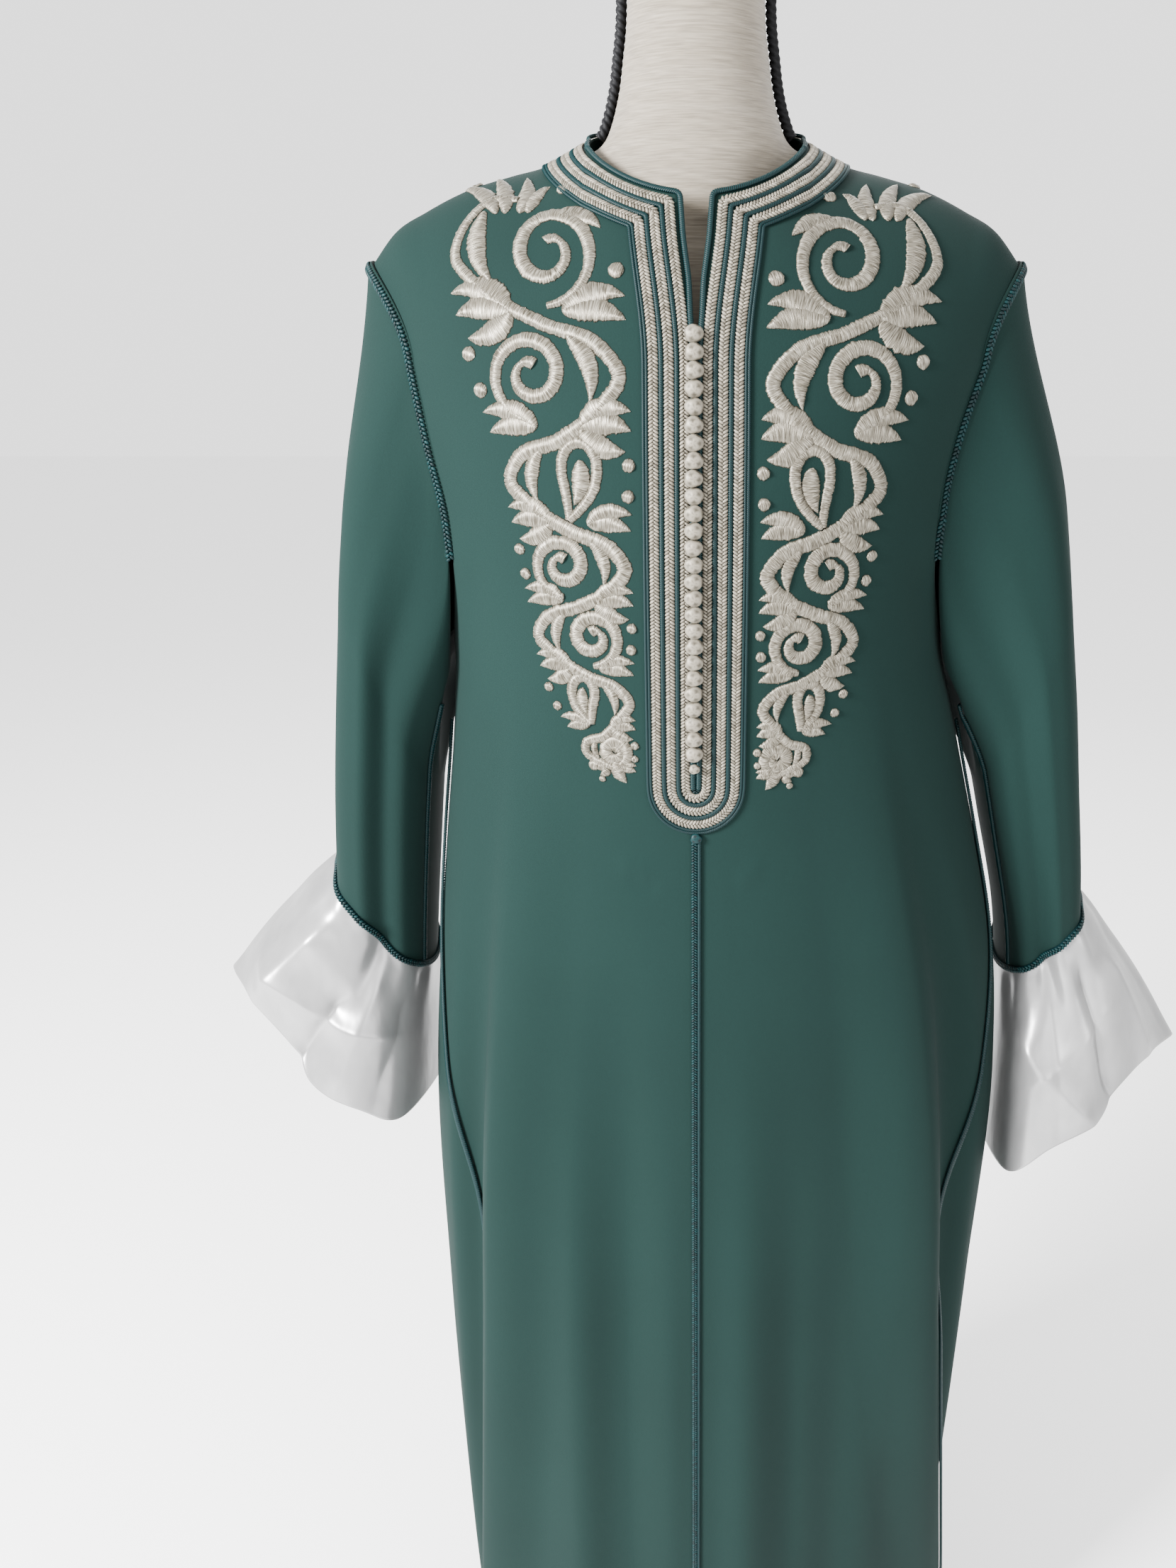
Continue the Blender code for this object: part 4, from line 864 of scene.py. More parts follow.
def sleeve(side, angle, t):
    """A point of a sleeve: it leaves the armhole and becomes a flat tube that hangs."""
    angle, t = np.broadcast_arrays(np.asarray(angle, float), np.asarray(t, float))
    ring = armhole(side, angle)[0]
    under = np.clip(-np.cos(np.radians(angle)), 0.0, 1.0) ** 2
    ring[..., 0] += side * (0.0022 + 0.0016 * under)
    z = ring[..., 2] + (cuff_seam_height(side, angle) - ring[..., 2]) * t
    outer = through(SLEEVE.height, SLEEVE.outer_left if side < 0 else SLEEVE.outer_right, z)
    inner = body_half(side, z) + SLEEVE_CLEAR
    front = through(SLEEVE.height, SLEEVE.front, z)
    back = through(SLEEVE.height, SLEEVE.back, z)
    turn = np.radians(angle)
    dent = np.zeros(angle.shape)
    for k in np.flatnonzero(SLEEVE_FOLDS.side == side):
        away = np.abs(np.mod(angle - SLEEVE_FOLDS.angle[k] + 180.0, 360.0) - 180.0)
        reach = np.clip(away / SLEEVE_FOLDS.half[k], 0.0, 1.0)
        dent = dent + SLEEVE_FOLDS.depth[k] * np.cos(reach * np.pi / 2) ** 2
    reach_x = (outer + inner) / 2 + ((outer - inner) / 2 + dent) * np.cos(turn)
    reach_y = (front + back) / 2 - ((back - front) / 2 + dent) * np.sin(turn)
    early = 1.0 - (1.0 - np.clip(t / 0.32, 0.0, 1.0)) ** 2
    leave = smooth(t / 0.45)
    leave = leave + (early - leave) * np.clip(np.cos(turn), 0.0, 1.0)
    x = side * ring[..., 0] + (reach_x - side * ring[..., 0]) * leave
    y = ring[..., 1] + (reach_y - ring[..., 1]) * leave
    depth = np.where(y < 0, through(BODY.height, BODY.front, z), through(BODY.height, BODY.back, z))
    beside = body_half(side, z) * np.sqrt(np.clip(1 - (y / depth) ** 2, 0.0, 1.0))
    clear = SLEEVE_CLEAR_TOP + (SLEEVE_CLEAR - SLEEVE_CLEAR_TOP) * smooth((UNDERARM - z) / 0.05)
    x = np.where(z < YOKE - 0.02, np.maximum(x, beside + clear), x)
    return np.stack([side * x, y, z], axis=-1)


def cuff(side, angle, t):
    """A point of a cuff: from the sleeve's seam to its free edge, swelling between them."""
    angle, t = np.broadcast_arrays(np.asarray(angle, float), np.asarray(t, float))
    seam = sleeve(side, angle, 1.0 + 0 * t)
    edge = CUFF_EDGE[side]
    reach = round_through(edge.angle, edge.reach, angle)
    y = round_through(edge.angle, edge.y, angle)
    z = round_through(edge.angle, edge.height, angle)
    free = np.stack([side * reach, y, z], axis=-1)
    turn = np.radians(angle)
    out = np.stack([side * np.clip(np.cos(turn), 0.0, 1.0), -np.sin(turn), 0.4 + 0 * turn], axis=-1)
    s = t[..., None]
    return seam + (free - seam) * s + out * CUFF_CROWN * np.sin(np.pi * s)

# %% Cuff with its gathers
CUFF_PLEATS = 13          # small gathers round the seam
PLEAT_DEPTH = 0.0011
CUFF_CREASES = Table(
    "side  from_angle from_t to_angle to_t depth half",
    (-1, 20.0, 0.78, 152.0, 0.42, 0.0100, 10.0),
    (-1, 58.0, 0.10, 36.0, 1.10, 0.0110, 11.0),
    (-1, 92.0, 0.34, 70.0, 1.12, -0.0110, 9.0),
    (-1, 112.0, 0.06, 104.0, 1.10, 0.0045, 10.0),
    (-1, 140.0, 0.10, 128.0, 1.10, -0.0045, 10.0),
    (-1, 10.0, 0.20, 8.0, 1.10, -0.0040, 12.0),
    (1, 140.0, 0.22, 88.0, 1.12, 0.0110, 10.0),
    (1, 66.0, 0.08, 74.0, 1.10, -0.0100, 10.0),
    (1, 40.0, 0.20, 30.0, 1.12, 0.0085, 11.0),
    (1, 150.0, 0.62, 44.0, 0.52, 0.0050, 10.0),
    (1, 104.0, 0.05, 116.0, 1.10, -0.0040, 9.0),
    (1, 12.0, 0.10, 10.0, 1.10, -0.0045, 12.0),
)
T_SCALE = 100.0           # one t is about as long as this many degrees


def gathered_cuff(side, angle, t):
    """The cuff with fine gathers at its seam and broad creases, each along a line in angle and t."""
    base = cuff(side, angle, t)
    out = cuff_normals(side, angle, t)
    wander = 0.6 * np.sin(np.radians(3.0 * angle + 40.0)) + 0.5 * np.sin(np.radians(7.0 * angle))
    depth = PLEAT_DEPTH * np.cos(np.radians(CUFF_PLEATS * angle) + wander)
    depth = depth * smooth(t / 0.08) * (1.0 - smooth((t - 0.05) / 0.40))
    for k in np.flatnonzero(CUFF_CREASES.side == side):
        start = np.array([CUFF_CREASES.from_angle[k], CUFF_CREASES.from_t[k] * T_SCALE])
        line = np.array([CUFF_CREASES.to_angle[k], CUFF_CREASES.to_t[k] * T_SCALE]) - start
        length = np.hypot(*line)
        line = line / length
        turn = np.mod(angle - start[0] + 180.0, 360.0) - 180.0
        along = turn * line[0] + (t * T_SCALE - start[1]) * line[1]
        aside = np.abs(turn * line[1] - (t * T_SCALE - start[1]) * line[0])
        fade = smooth(along / (0.25 * length)) * smooth((length - along) / (0.25 * length))
        ridge = np.exp(-(np.sqrt(aside**2 + 4.0) - 2.0) / CUFF_CREASES.half[k])
        depth = depth + CUFF_CREASES.depth[k] * fade * ridge * smooth(t / 0.25)
    return base + out * depth[..., None]


def tube_normals(surface, angle, t):
    """Outward unit normals of a sleeve or a cuff, from its two tangents."""
    across = surface(angle + 2.0, t) - surface(angle - 2.0, t)
    along = surface(angle, t + 0.02) - surface(angle, t - 0.02)
    return unit(np.cross(across, along))


def sleeve_normals(side, angle, t):
    """Outward normals of a sleeve."""
    return tube_normals(lambda a, b: sleeve(side, a, b), angle, np.clip(t, 0.02, 0.98)) * side


def cuff_normals(side, angle, t):
    """Outward normals of a cuff."""
    return tube_normals(lambda a, b: cuff(side, a, b), angle, t) * side

# %% Sleeve and cuff sheets
ROUND = np.arange(0.0, 360.0, 2.5)
for side, word in ((-1, "left"), (1, "right")):
    angle, t = np.meshgrid(ROUND, np.linspace(0.0, 1.0, 150))
    cloth("sleeve_" + word + "_cloth", sleeve(side, angle, t), crepe, CREPE_WALL,
          ["sleeve_" + word], round_shut=True, flip=side < 0)
    angle, t = np.meshgrid(np.arange(0.0, 360.0, 1.25), np.linspace(0.004, 1.0, 90))
    cloth("cuff_" + word + "_cloth", gathered_cuff(side, angle, t), satin, SATIN_WALL,
          ["cuff_" + word], round_shut=True, flip=side < 0)

# %% [markdown]
# ## Paths over the cloth
# Braids, cords and embroidery lie on the panels. A place is found on a panel by its x
# and height with Newton's rule, and the panel's own normal there lifts the piece off it.
# The neck braids stay at one distance from the neckline, measured over the cloth.

# %% Places on a panel
def solve(side, miss, behind=False):
    """Find the spots of a panel where two measures of a point are both zero (Newton's rule)."""
    u, t = np.meshgrid(np.linspace(0, 1, 31), np.linspace(0.6, 2, 57))
    spots = panel(side, u, t, behind).reshape(1, -1, 3)
    nearest = np.argmin((miss(spots) ** 2).sum(-1), axis=1)
    u, t = u.ravel()[nearest], t.ravel()[nearest]
    step = 1e-4
    for _ in range(8):
        here = miss(panel(side, u, t, behind)[:, None])[:, 0]
        du = (miss(panel(side, u + step, t, behind)[:, None])[:, 0] - here) / step
        dt = (miss(panel(side, u, t - step, behind)[:, None])[:, 0] - here) / -step
        det = du[:, 0] * dt[:, 1] - du[:, 1] * dt[:, 0]
        det = np.where(np.abs(det) < 1e-9, 1e-9, det)
        u = u - np.clip((here[:, 0] * dt[:, 1] - here[:, 1] * dt[:, 0]) / det, -0.1, 0.1)
        t = t - np.clip((here[:, 1] * du[:, 0] - here[:, 0] * du[:, 1]) / det, -0.1, 0.1)
        u, t = np.clip(u, 0.0, 1.0), np.clip(t, 0.0, 2.0)
    return u, t


def locate(side, wanted, axes, behind=False):
    """Find where on a panel two of its coordinates have the wanted values."""
    wanted = np.asarray(wanted, float)[:, None]
    return solve(side, lambda spots: spots[..., axes] - wanted, behind)

# %% Distance from the neckline and the slit
def neck_offset(side, angle, distance, behind=False):
    """Points at one distance from the neckline, measured over the cloth."""
    ring = neck_ring(side, angle)
    ahead = neck_ring(side, angle + 0.5) - neck_ring(side, angle - 0.5)
    out = np.stack([ahead[:, 1], -ahead[:, 0]], axis=-1)
    out = out * np.sign(np.sum(out * (ring[:, :2] - np.array([0.0, NECK_MIDDLE])), axis=1))[:, None]
    out = unit(out)
    across = np.stack([-out[:, 1], out[:, 0]], axis=-1)

    def miss(spots):
        gone = spots - ring[:, None]
        off_line = np.sum(gone[..., :2] * across[:, None], axis=-1)
        return np.stack([off_line, np.linalg.norm(gone, axis=-1) - distance], axis=-1)

    u, t = solve(side, miss, behind)
    return panel(side, u, t, behind), panel_with_normal(side, u, t, behind)


def slit_half_at(z):
    """Half the width of the slit at height z, read from a front's own inner edge."""
    t = np.linspace(0.0, 2.0, 400)
    edge = panel(1, 0 * t, t)
    return np.interp(z, edge[:, 2], edge[:, 0])

# %% [markdown]
# A braid's path runs from the back of the neck round the neckline, down beside the slit,
# round its end, and back on the other side. The points are resampled to even steps and
# averaged over a few millimetres, which rounds the corner at the top of the slit as a
# real braid is eased round it.

# %% Braid paths
def half_braid_path(side, distance):
    """Half of a neck-and-slit braid: from the back neck, round the neckline, down the slit."""
    back, back_normal = neck_offset(side, np.linspace(180.0, 95.0, 40), distance, behind=True)
    dense = np.linspace(9.0, 45.0, 37)
    trial, _ = neck_offset(side, dense, distance)
    over = np.abs(trial[:, 0]) - (slit_half_at(trial[:, 2]) + distance)
    corner = np.interp(0.0, over, dense)
    front, front_normal = neck_offset(side, np.linspace(88.0, corner, 44), distance)
    heights = np.arange(1.44, 1.084, -0.005)
    heights = heights[heights < front[-1, 2] - 0.002]
    x = side * (slit_half_at(heights) + distance)
    u, t = locate(side, np.stack([x, heights], axis=-1), [0, 2])
    return (np.concatenate([back, front, panel(side, u, t)]),
            np.concatenate([back_normal, front_normal, panel_with_normal(side, u, t)]))


def round_end(distance, steps=9):
    """The round end of a braid, from the left side under the slit to the right side."""
    turn = np.linspace(-90.0, 90.0, steps)
    x = distance * np.sin(np.radians(turn))
    z = SLIT_END - distance * np.cos(np.radians(turn))
    u, t = locate(1, np.stack([np.maximum(np.abs(x), 2 * SEAM), z], axis=-1), [0, 2])
    points = panel(1, u, t)
    normals = panel_with_normal(1, u, t)
    points[:, 0] = x
    normals[:, 0] = normals[:, 0] * np.sign(x)
    return points, normals


def even(path, normal, step, closed=False, ease=0.0):
    """Even steps along a path, averaged over a length, with tangents and side vectors."""
    if closed:
        path, normal = np.concatenate([path, path[:1]]), np.concatenate([normal, normal[:1]])
    length = run_along(path)
    count = max(int(round(length[-1] / step)), 4)
    at = np.linspace(0.0, length[-1], count + 1)[: count if closed else count + 1]
    rows = [np.stack([np.interp(at, length, row[:, k]) for k in range(3)], axis=-1)
            for row in (path, normal)]
    reach = int(ease / step)
    if reach > 0:
        window = np.hanning(2 * reach + 3)[1:-1]
        window = window / window.sum()
        pad = {"mode": "wrap"} if closed else {"mode": "reflect", "reflect_type": "odd"}
        rows = [np.stack([np.convolve(np.pad(row[:, k], reach, **pad), window, "valid")
                          for k in range(3)], axis=-1) for row in rows]
    point, up = rows
    if closed:
        ahead = unit(np.roll(point, -1, axis=0) - np.roll(point, 1, axis=0))
    else:
        ahead = unit(np.gradient(point, axis=0))
    up = unit(up - ahead * np.sum(up * ahead, axis=1, keepdims=True))
    return point, up, ahead, np.cross(ahead, up), length[-1]


# %% [markdown]
# ## Strands, twists and straps
# A plait is made of what one sees of it: two columns of short slanted strands that meet
# in chevrons. A twisted cord is one tube whose columns follow the strands round it, so
# three raised strands wind along it. Every form here is shut at its ends and faces
# outwards. A thin strap under each plait closes the gaps.

# %% Strand, twist and strap
GRAIN_RINGS, GRAIN_AROUND = 5, 6
GRAIN_END = 0.96          # a strand is cut here, as a share of its half length, so its ends are blunt
GRAIN_FULL = 2.6          # the higher, the fuller a strand stays towards its ends
COLUMN_OUT = 0.245        # a column of strands from a plait's middle, as a share of its width
TUCK = 0.16               # how steeply a strand's far end goes down under the next
OVERLAP = 1.12, 1.04      # strands are longer and wider than their share, so that they touch
# How far each column of a twisted cord stands out, and how light it is painted, for one strand: the
# proudest column lightest and the lowest darkest, a painted shade in the grooves.
# An open cord has an even count of columns, so that its ends shut in quads.
PROUD = {True: [1.10, 0.99, 0.80], False: [1.10, 1.02, 0.80, 1.02]}
PAINTED_CREST_LIGHT = {True: [1.0, 0.45, 0.0], False: [1.0, 0.6, 0.0, 0.6]}


def grains(centre, ahead, up, length, width, height):
    """Short closed strands: each a rounded bar along its own direction, fuller in its middle."""
    along = np.linspace(-1.0, 1.0, GRAIN_RINGS)[:, None] * GRAIN_END
    spin = np.linspace(0.0, 2 * np.pi, GRAIN_AROUND, endpoint=False)[None, :]
    body = (1.0 - np.abs(along) ** GRAIN_FULL) ** 0.5
    local = np.stack([along * length / 2 + 0 * spin, body * np.cos(spin) * width / 2,
                      body * np.sin(spin) * height / 2], axis=-1).reshape(-1, 3)
    aside = np.cross(up, ahead)
    frames = np.stack([ahead, aside, up], axis=1)
    points = centre[:, None] + np.einsum("kc,mcd->mkd", local, frames)
    each = len(local)
    one = closed_faces(GRAIN_RINGS, GRAIN_AROUND)
    faces = (np.arange(len(centre))[:, None, None] * each + one[None]).reshape(-1, 4)
    return points.reshape(-1, 3), faces, each


def plait(path, normal, wide, high, pitch, closed=False, lift=0.0, ease=0.0, slant=36.0):
    """Chevrons along a path: two columns of strands, slanted to either side, half a pitch apart."""
    point, up, ahead, aside, length = even(path, normal, pitch, closed, ease)
    lots, shade = [], []
    turn = np.radians(slant)
    for column in (-1, 1):
        shift = ahead * pitch / 2 * (column > 0)
        centre = point + aside * (column * wide * COLUMN_OUT) + up * (lift + high * 0.5) + shift
        tilt = unit(ahead * np.sin(turn) + aside * (column * np.cos(turn)) - up * TUCK)
        lots.append(grains(centre, tilt, up, wide * 0.5 / np.cos(turn) * OVERLAP[0],
                           pitch * np.cos(turn) * OVERLAP[1], high))
        shade.append(np.repeat(RANDOM.uniform(0.25, 1.0, len(centre)), lots[-1][2]))
    return join_lots([(p, f, s, 0) for (p, f, _), s in zip(lots, shade)])


def twist(path, normal, wide, high, lay, closed=False, lift=0.0, ease=0.0, strands=3, step=0.00050):
    """A twisted cord: its columns wind round the path once each lay, in strands."""
    point, up, ahead, aside, length = even(path, normal, step, closed, ease)
    columns = len(PROUD[closed]) * strands
    laps = max(round(length / lay), 1)
    phase = np.linspace(0.0, 2 * np.pi * laps, len(point), endpoint=not closed)[:, None]
    angle = phase + np.arange(columns)[None] * 2 * np.pi / columns
    proud = np.array(PROUD[closed] * strands)[None]
    light = np.array(PAINTED_CREST_LIGHT[closed] * strands)[None]
    ring = (point[:, None] + aside[:, None] * (np.cos(angle) * proud * wide / 2)[..., None]
            + up[:, None] * ((np.sin(angle) * proud + 1.0) * high / 2 + lift)[..., None])
    # Painted light and shade: each strand's crest column is lighter and its groove darker.
    shade = np.broadcast_to(light, angle.shape).copy()
    rows = len(point)
    number = np.arange(rows * columns).reshape(rows, columns)
    after = np.roll(number, -1, axis=1)
    upper = np.roll(number, -1, axis=0) if closed else number[1:]
    upper_after = np.roll(after, -1, axis=0) if closed else after[1:]
    low, low_after = (number, after) if closed else (number[:-1], after[:-1])
    faces = np.stack([low, upper, upper_after, low_after], axis=-1).reshape(-1, 4)
    if not closed:
        ends = [[r[0], r[k], r[k + 1], r[k + 2]] for r in (number[0], number[-1, ::-1])
                for k in range(1, columns - 2, 2)]
        faces = np.concatenate([faces, np.array(ends)])
    return ring.reshape(-1, 3), faces, shade.ravel(), np.zeros(len(faces), dtype=int)


def strap(path, normal, wide, high, closed=False, lift=0.0, ease=0.0, finish=1, step=0.0015):
    """A thin flat bar along a path, under a plait."""
    point, up, ahead, aside, _ = even(path, normal, step, closed, ease)
    corner = [(-0.5, 0.0), (0.5, 0.0), (0.42, 1.0), (-0.42, 1.0)]
    ring = np.stack([point + aside * (a * wide) + up * (lift + b * high) for a, b in corner], axis=1)
    rows = len(point)
    number = np.arange(rows * 4).reshape(rows, 4)
    after = np.roll(number, -1, axis=1)
    if closed:
        faces = np.stack([number, after, np.roll(after, -1, axis=0), np.roll(number, -1, axis=0)],
                         axis=-1).reshape(-1, 4)
    else:
        faces = np.stack([number[:-1], after[:-1], after[1:], number[1:]], axis=-1).reshape(-1, 4)
        faces = np.concatenate([faces, [number[0, ::-1], number[-1]]])
    return ring.reshape(-1, 3), faces[:, ::-1], np.full(rows * 4, 0.5), np.full(len(faces), finish)


def join_lots(lots):
    """Several meshes as one: points, faces, shade of each point, and finish of each face."""
    at, points, faces, shade, finish = 0, [], [], [], []
    for p, f, s, m in lots:
        points.append(p)
        faces.append(f + at)
        shade.append(s)
        finish.append(np.broadcast_to(m, len(f)))
        at += len(p)
    return np.concatenate(points), np.concatenate(faces), np.concatenate(shade), np.concatenate(finish)


def trim(name, lots, finishes, nodes):
    """A finished trim: joined lots with their shade attribute, standing for its nodes."""
    points, faces, shade, finish = join_lots(lots)
    piece = link(name, points, faces, finishes, face_finish=finish)
    attribute = piece.data.attributes.new("shade", "FLOAT", "POINT")
    attribute.data.foreach_set("value", shade.astype(np.float32))
    if nodes:
        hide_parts(*nodes)
    print("%-22s %6d faces" % (name, len(faces)))
    return piece


RANDOM = np.random.default_rng(7)

# %% [markdown]
# ## Neck and slit braids
# Three silver plaits with a teal cord after each run round the neck and the slit, and a
# fourth cord covers the slit's own edge. The outermost cord is a doubled one.

# %% Neck and slit braids
PLAIT_PITCH = 0.0024
CORD_LAY = 0.0042
EASE = 0.0035
at = SLOT_HALF
for lap in ("inner", "middle", "outer"):
    for kind, wide in (("silver", SILVER_WIDE), ("teal", EDGE_WIDE if lap == "outer" else TEAL_WIDE)):
        distance = at + wide / 2
        at += wide
        left, left_normal = half_braid_path(-1, distance)
        right, right_normal = half_braid_path(1, distance)
        bend, bend_normal = round_end(distance, 15)
        path = np.concatenate([left, bend, right[:0:-1]])
        normal = np.concatenate([left_normal, bend_normal, right_normal[:0:-1]])
        if kind == "silver":
            lots = [plait(path, normal, wide * 0.97, 0.0019, PLAIT_PITCH, True, 0.0006, EASE),
                    strap(path, normal, wide * 0.95, 0.0010, True, 0.0002, EASE)]
            trim("plait_" + lap, lots, [plait_silver, silver_strap_painted_shade], ["braid_silver_" + lap])
        elif lap == "outer":
            point, up, ahead, aside, _ = even(path, normal, 0.001, True, EASE)
            lots = [twist(point + aside * s * wide * 0.25, up, wide * 0.54, 0.0020, CORD_LAY, True,
                          0.0002) for s in (-1, 1)]
            trim("edge_cord_double", lots, [cord_teal], ["cord_teal_outer"])
        else:
            lots = [twist(path, normal, wide, 0.0022, CORD_LAY, True, 0.0002, EASE)]
            trim("neck_cord_" + lap, lots, [cord_teal], ["cord_teal_" + lap])

distance = SLOT_HALF - TEAL_WIDE / 2 - SEAM / 2
left, left_normal = half_braid_path(-1, distance)
right, right_normal = half_braid_path(1, distance)
end, end_normal = round_end(distance, 2)
path = np.concatenate([end[:1], left[::-1], right[1:], end[1:]])
normal = np.concatenate([end_normal[:1], left_normal[::-1], right_normal[1:], end_normal[1:]])
point, up, ahead, aside, _ = even(path, normal, 0.001, False, EASE)
point = point + aside * (0.0021 * smooth((np.abs(point[:, :1]) - 0.0032) / 0.0045))
trim("slit_edge_cord", [twist(point, up, 0.0036, 0.0024, CORD_LAY, False, 0.0001)],
     [cord_teal], ["cord_slit_edge"])

# %% [markdown]
# ## Buttons
# Each button is a ball knotted from silver braid, about twelve millimetres across and
# eleven apart, so they nearly touch. One mesh holds them all: a ball whose surface rises
# where two sets of strands cross over and under. The last one is half the size.

# %% Buttons
def knot_ball(columns=20, rows=12):
    """A unit ball with woven strands: the higher of two slanted sets of ridges at each point, and a shade
    that is painted darker in the hollows between them.
    """
    turn, rise = np.meshgrid(np.linspace(0.0, 2 * np.pi, columns, endpoint=False),
                             np.linspace(-0.5 * np.pi, 0.5 * np.pi, rows + 2)[1:-1])
    first = np.abs(np.cos(1.5 * turn + 2.2 * rise))
    second = np.abs(np.cos(1.5 * turn - 2.2 * rise + 0.8))
    radius = 0.90 + 0.13 * np.maximum(first, second) ** 1.5
    ball = np.stack([np.cos(rise) * np.cos(turn), -np.sin(rise), np.cos(rise) * np.sin(turn)], axis=-1)
    # Painted shade: darker in the hollows between the strands, lighter on their crests.
    shade = np.clip(np.maximum(first, second) * 1.6 - 0.7, 0.0, 1.0)
    return (ball * radius[..., None]).reshape(-1, 3), shade.ravel(), rows, columns


ball, ball_painted_shade, rows, columns = knot_ball()
body = closed_faces(rows, columns)
heights = BUTTON_TOP - BUTTON_PITCH * np.arange(BUTTON_COUNT)
u, t = locate(1, np.stack([0 * heights + 0.0001, heights], axis=-1), [0, 2])
seats = panel(1, u, t)[:, 1] - LIFT - SILVER_HIGH - BUTTON_SIZE[1] * 0.36
size = np.ones(BUTTON_COUNT)
size[-1] = 0.62
lots = []
for k in range(BUTTON_COUNT):
    spin = RANDOM.uniform(0, 2 * np.pi)
    about = np.array([[np.cos(spin), 0, np.sin(spin)], [0, 1, 0], [-np.sin(spin), 0, np.cos(spin)]])
    where = np.array([BUTTON_SHIFT + RANDOM.uniform(-3e-4, 3e-4), seats[k], heights[k]])
    swollen = np.array(BUTTON_SIZE) / 2 * size[k] * np.array([1.03, 1.0, 1.10])
    lots.append((ball @ about * swollen + where, body, ball_painted_shade, 0))
trim("knot_buttons", lots, [plait_silver], ["button_%02d" % (k + 1) for k in range(BUTTON_COUNT)])

# %% [markdown]
# ## Seam cords and the centre trim
# A twisted cord covers each seam that shows. Down the middle, below the slit, runs a
# wider trim: a dark plait on the left and a twisted cord on the right, with a small knot
# where it leaves the slit's end. A short piece of the same plait closes the slit's foot.

# %% Centre trim
heights = np.arange(HEM, SLIT_END - 0.0385, 0.004)
t = height_to_t(heights)
path = panel(1, 0 * t, t)
path[:, 0] = 0.0
normal = panel_with_normal(1, 0 * t, t)
path, normal = path[::-1], normal[::-1]
lots = [plait(path - [0.0012, 0, 0], normal, 0.0046, 0.0018, 0.0022, False, 0.0006),
        twist(path + [0.0024, 0, 0], normal, 0.0025, 0.0021, 0.0040, False, 0.0003),
        strap(path, normal, 0.0066, 0.0009, False, 0.0001)]
knot_place = path[0] + normal[0] * 0.0018 + [0, 0, 0.001]
lots.append((ball * [0.0044, 0.0026, 0.0040] + knot_place, body, ball_painted_shade, 0))
foot = np.arange(1.0905, 1.0735, -0.001)
u, t = locate(1, np.stack([0 * foot + 0.0004, foot], axis=-1), [0, 2])
foot_path = panel(1, u, t)
foot_path[:, 0] = 0.0
lots.append(plait(foot_path, panel_with_normal(1, u, t), 0.0068, 0.0018, 0.0022, False, -0.0004))
trim("centre_trim", lots, [cord_teal, ground_teal], ["cord_centre"])

# %% Seam cords
SEAM_LAY = 0.0066
SEAM_CORD_TALL = 0.0028
for side, word in ((-1, "left"), (1, "right")):
    z = np.arange(HEM, 1.095, 0.006)
    path = (gore(side, 0 * z, z) + panel(side, 0 * z + 1.0, height_to_t(z))) / 2
    normal = normals_of(lambda a, b: gore(side, a, b), 0 * z, z, side)
    trim("side_cord_" + word,
         [twist(path, normal, SEAM_CORD_WIDE, SEAM_CORD_TALL, SEAM_LAY, False, 0.0006, step=0.0008)],
         [cord_teal], ["cord_side_" + word])
    angle = np.linspace(-132.0, 132.0, 140)
    near, near_normal = armhole(side, angle)
    far = sleeve(side, angle, 0 * angle)
    normal = unit(near_normal + sleeve_normals(side, angle, 0 * angle))
    seam = (near + far) / 2
    trim("armhole_cord_" + word, [plait(seam, normal, 0.0060, 0.0020, 0.0030, False, 0.0012, 0.004),
                                  strap(seam, normal, 0.0092, 0.0010, False, -0.0002, 0.004, finish=1)],
         [cord_teal, crepe], ["cord_armhole_" + word])
    t = np.linspace(0.26, 0.985, 80)
    angle = UNDERARM_SEAM + 0 * t
    trim("underarm_cord_" + word,
         [twist(sleeve(side, angle, t), sleeve_normals(side, angle, t), SEAM_CORD_WIDE,
                SEAM_CORD_TALL, SEAM_LAY, False, 0.0005, 0.004, step=0.0007)],
         [cord_teal], ["cord_underarm_" + word])
    angle = np.arange(0.0, 360.0, 3.0)
    path = (sleeve(side, angle, 1.0 + 0 * angle) + gathered_cuff(side, angle, 0.006 + 0 * angle)) / 2
    normal = unit(sleeve_normals(side, angle, 1.0 + 0 * angle)
                  + cuff_normals(side, angle, 0.05 + 0 * angle))
    trim("cuff_cord_" + word, [plait(path, normal, 0.0052, 0.0022, 0.0028, True, 0.0010, 0.002),
                               strap(path, normal, 0.0056, 0.0010, True, 0.0002, 0.002)],
         [cord_teal, ground_teal], ["cord_cuff_" + word])

# %% [markdown]
# ## Embroidery
# Silver satin stitch fills both sides of the slit. This is a running scroll, the common
# form of such work: a stem winds down the field in bays, a spiral or a paisley sits in
# each bay, and sprays of leaves and dots fill the corners. The layout is this part's own:
# it comes from the rule below and the field's size, and a few leaves and dots are added
# one by one at the field's two ends. The right front mirrors the left, a little lower.

# %% Motif lines
STROKE_STEP = 1.1         # millimetres between the points of a stroke


def smooth_line(knots, count):
    """A curve through a few knots, even in its knots' own distance along it."""
    knots = np.asarray(knots, float)
    length = run_along(knots)
    at = np.linspace(0.0, length[-1], count)
    return np.stack([through(length, knots[:, k], at) for k in range(2)], axis=-1)


def vine(knots, start, middle, end):
    """A tendril through knots: its width runs from start over middle to end."""
    count = max(int(run_along(np.asarray(knots, float))[-1] / STROKE_STEP), 8)
    line = smooth_line(knots, count)
    s = np.linspace(0.0, 1.0, count)
    swell = np.sin(np.pi * s) ** 0.5
    width = (start + (end - start) * s) * (1 - swell) + max(middle, start, end) * swell
    return line, width


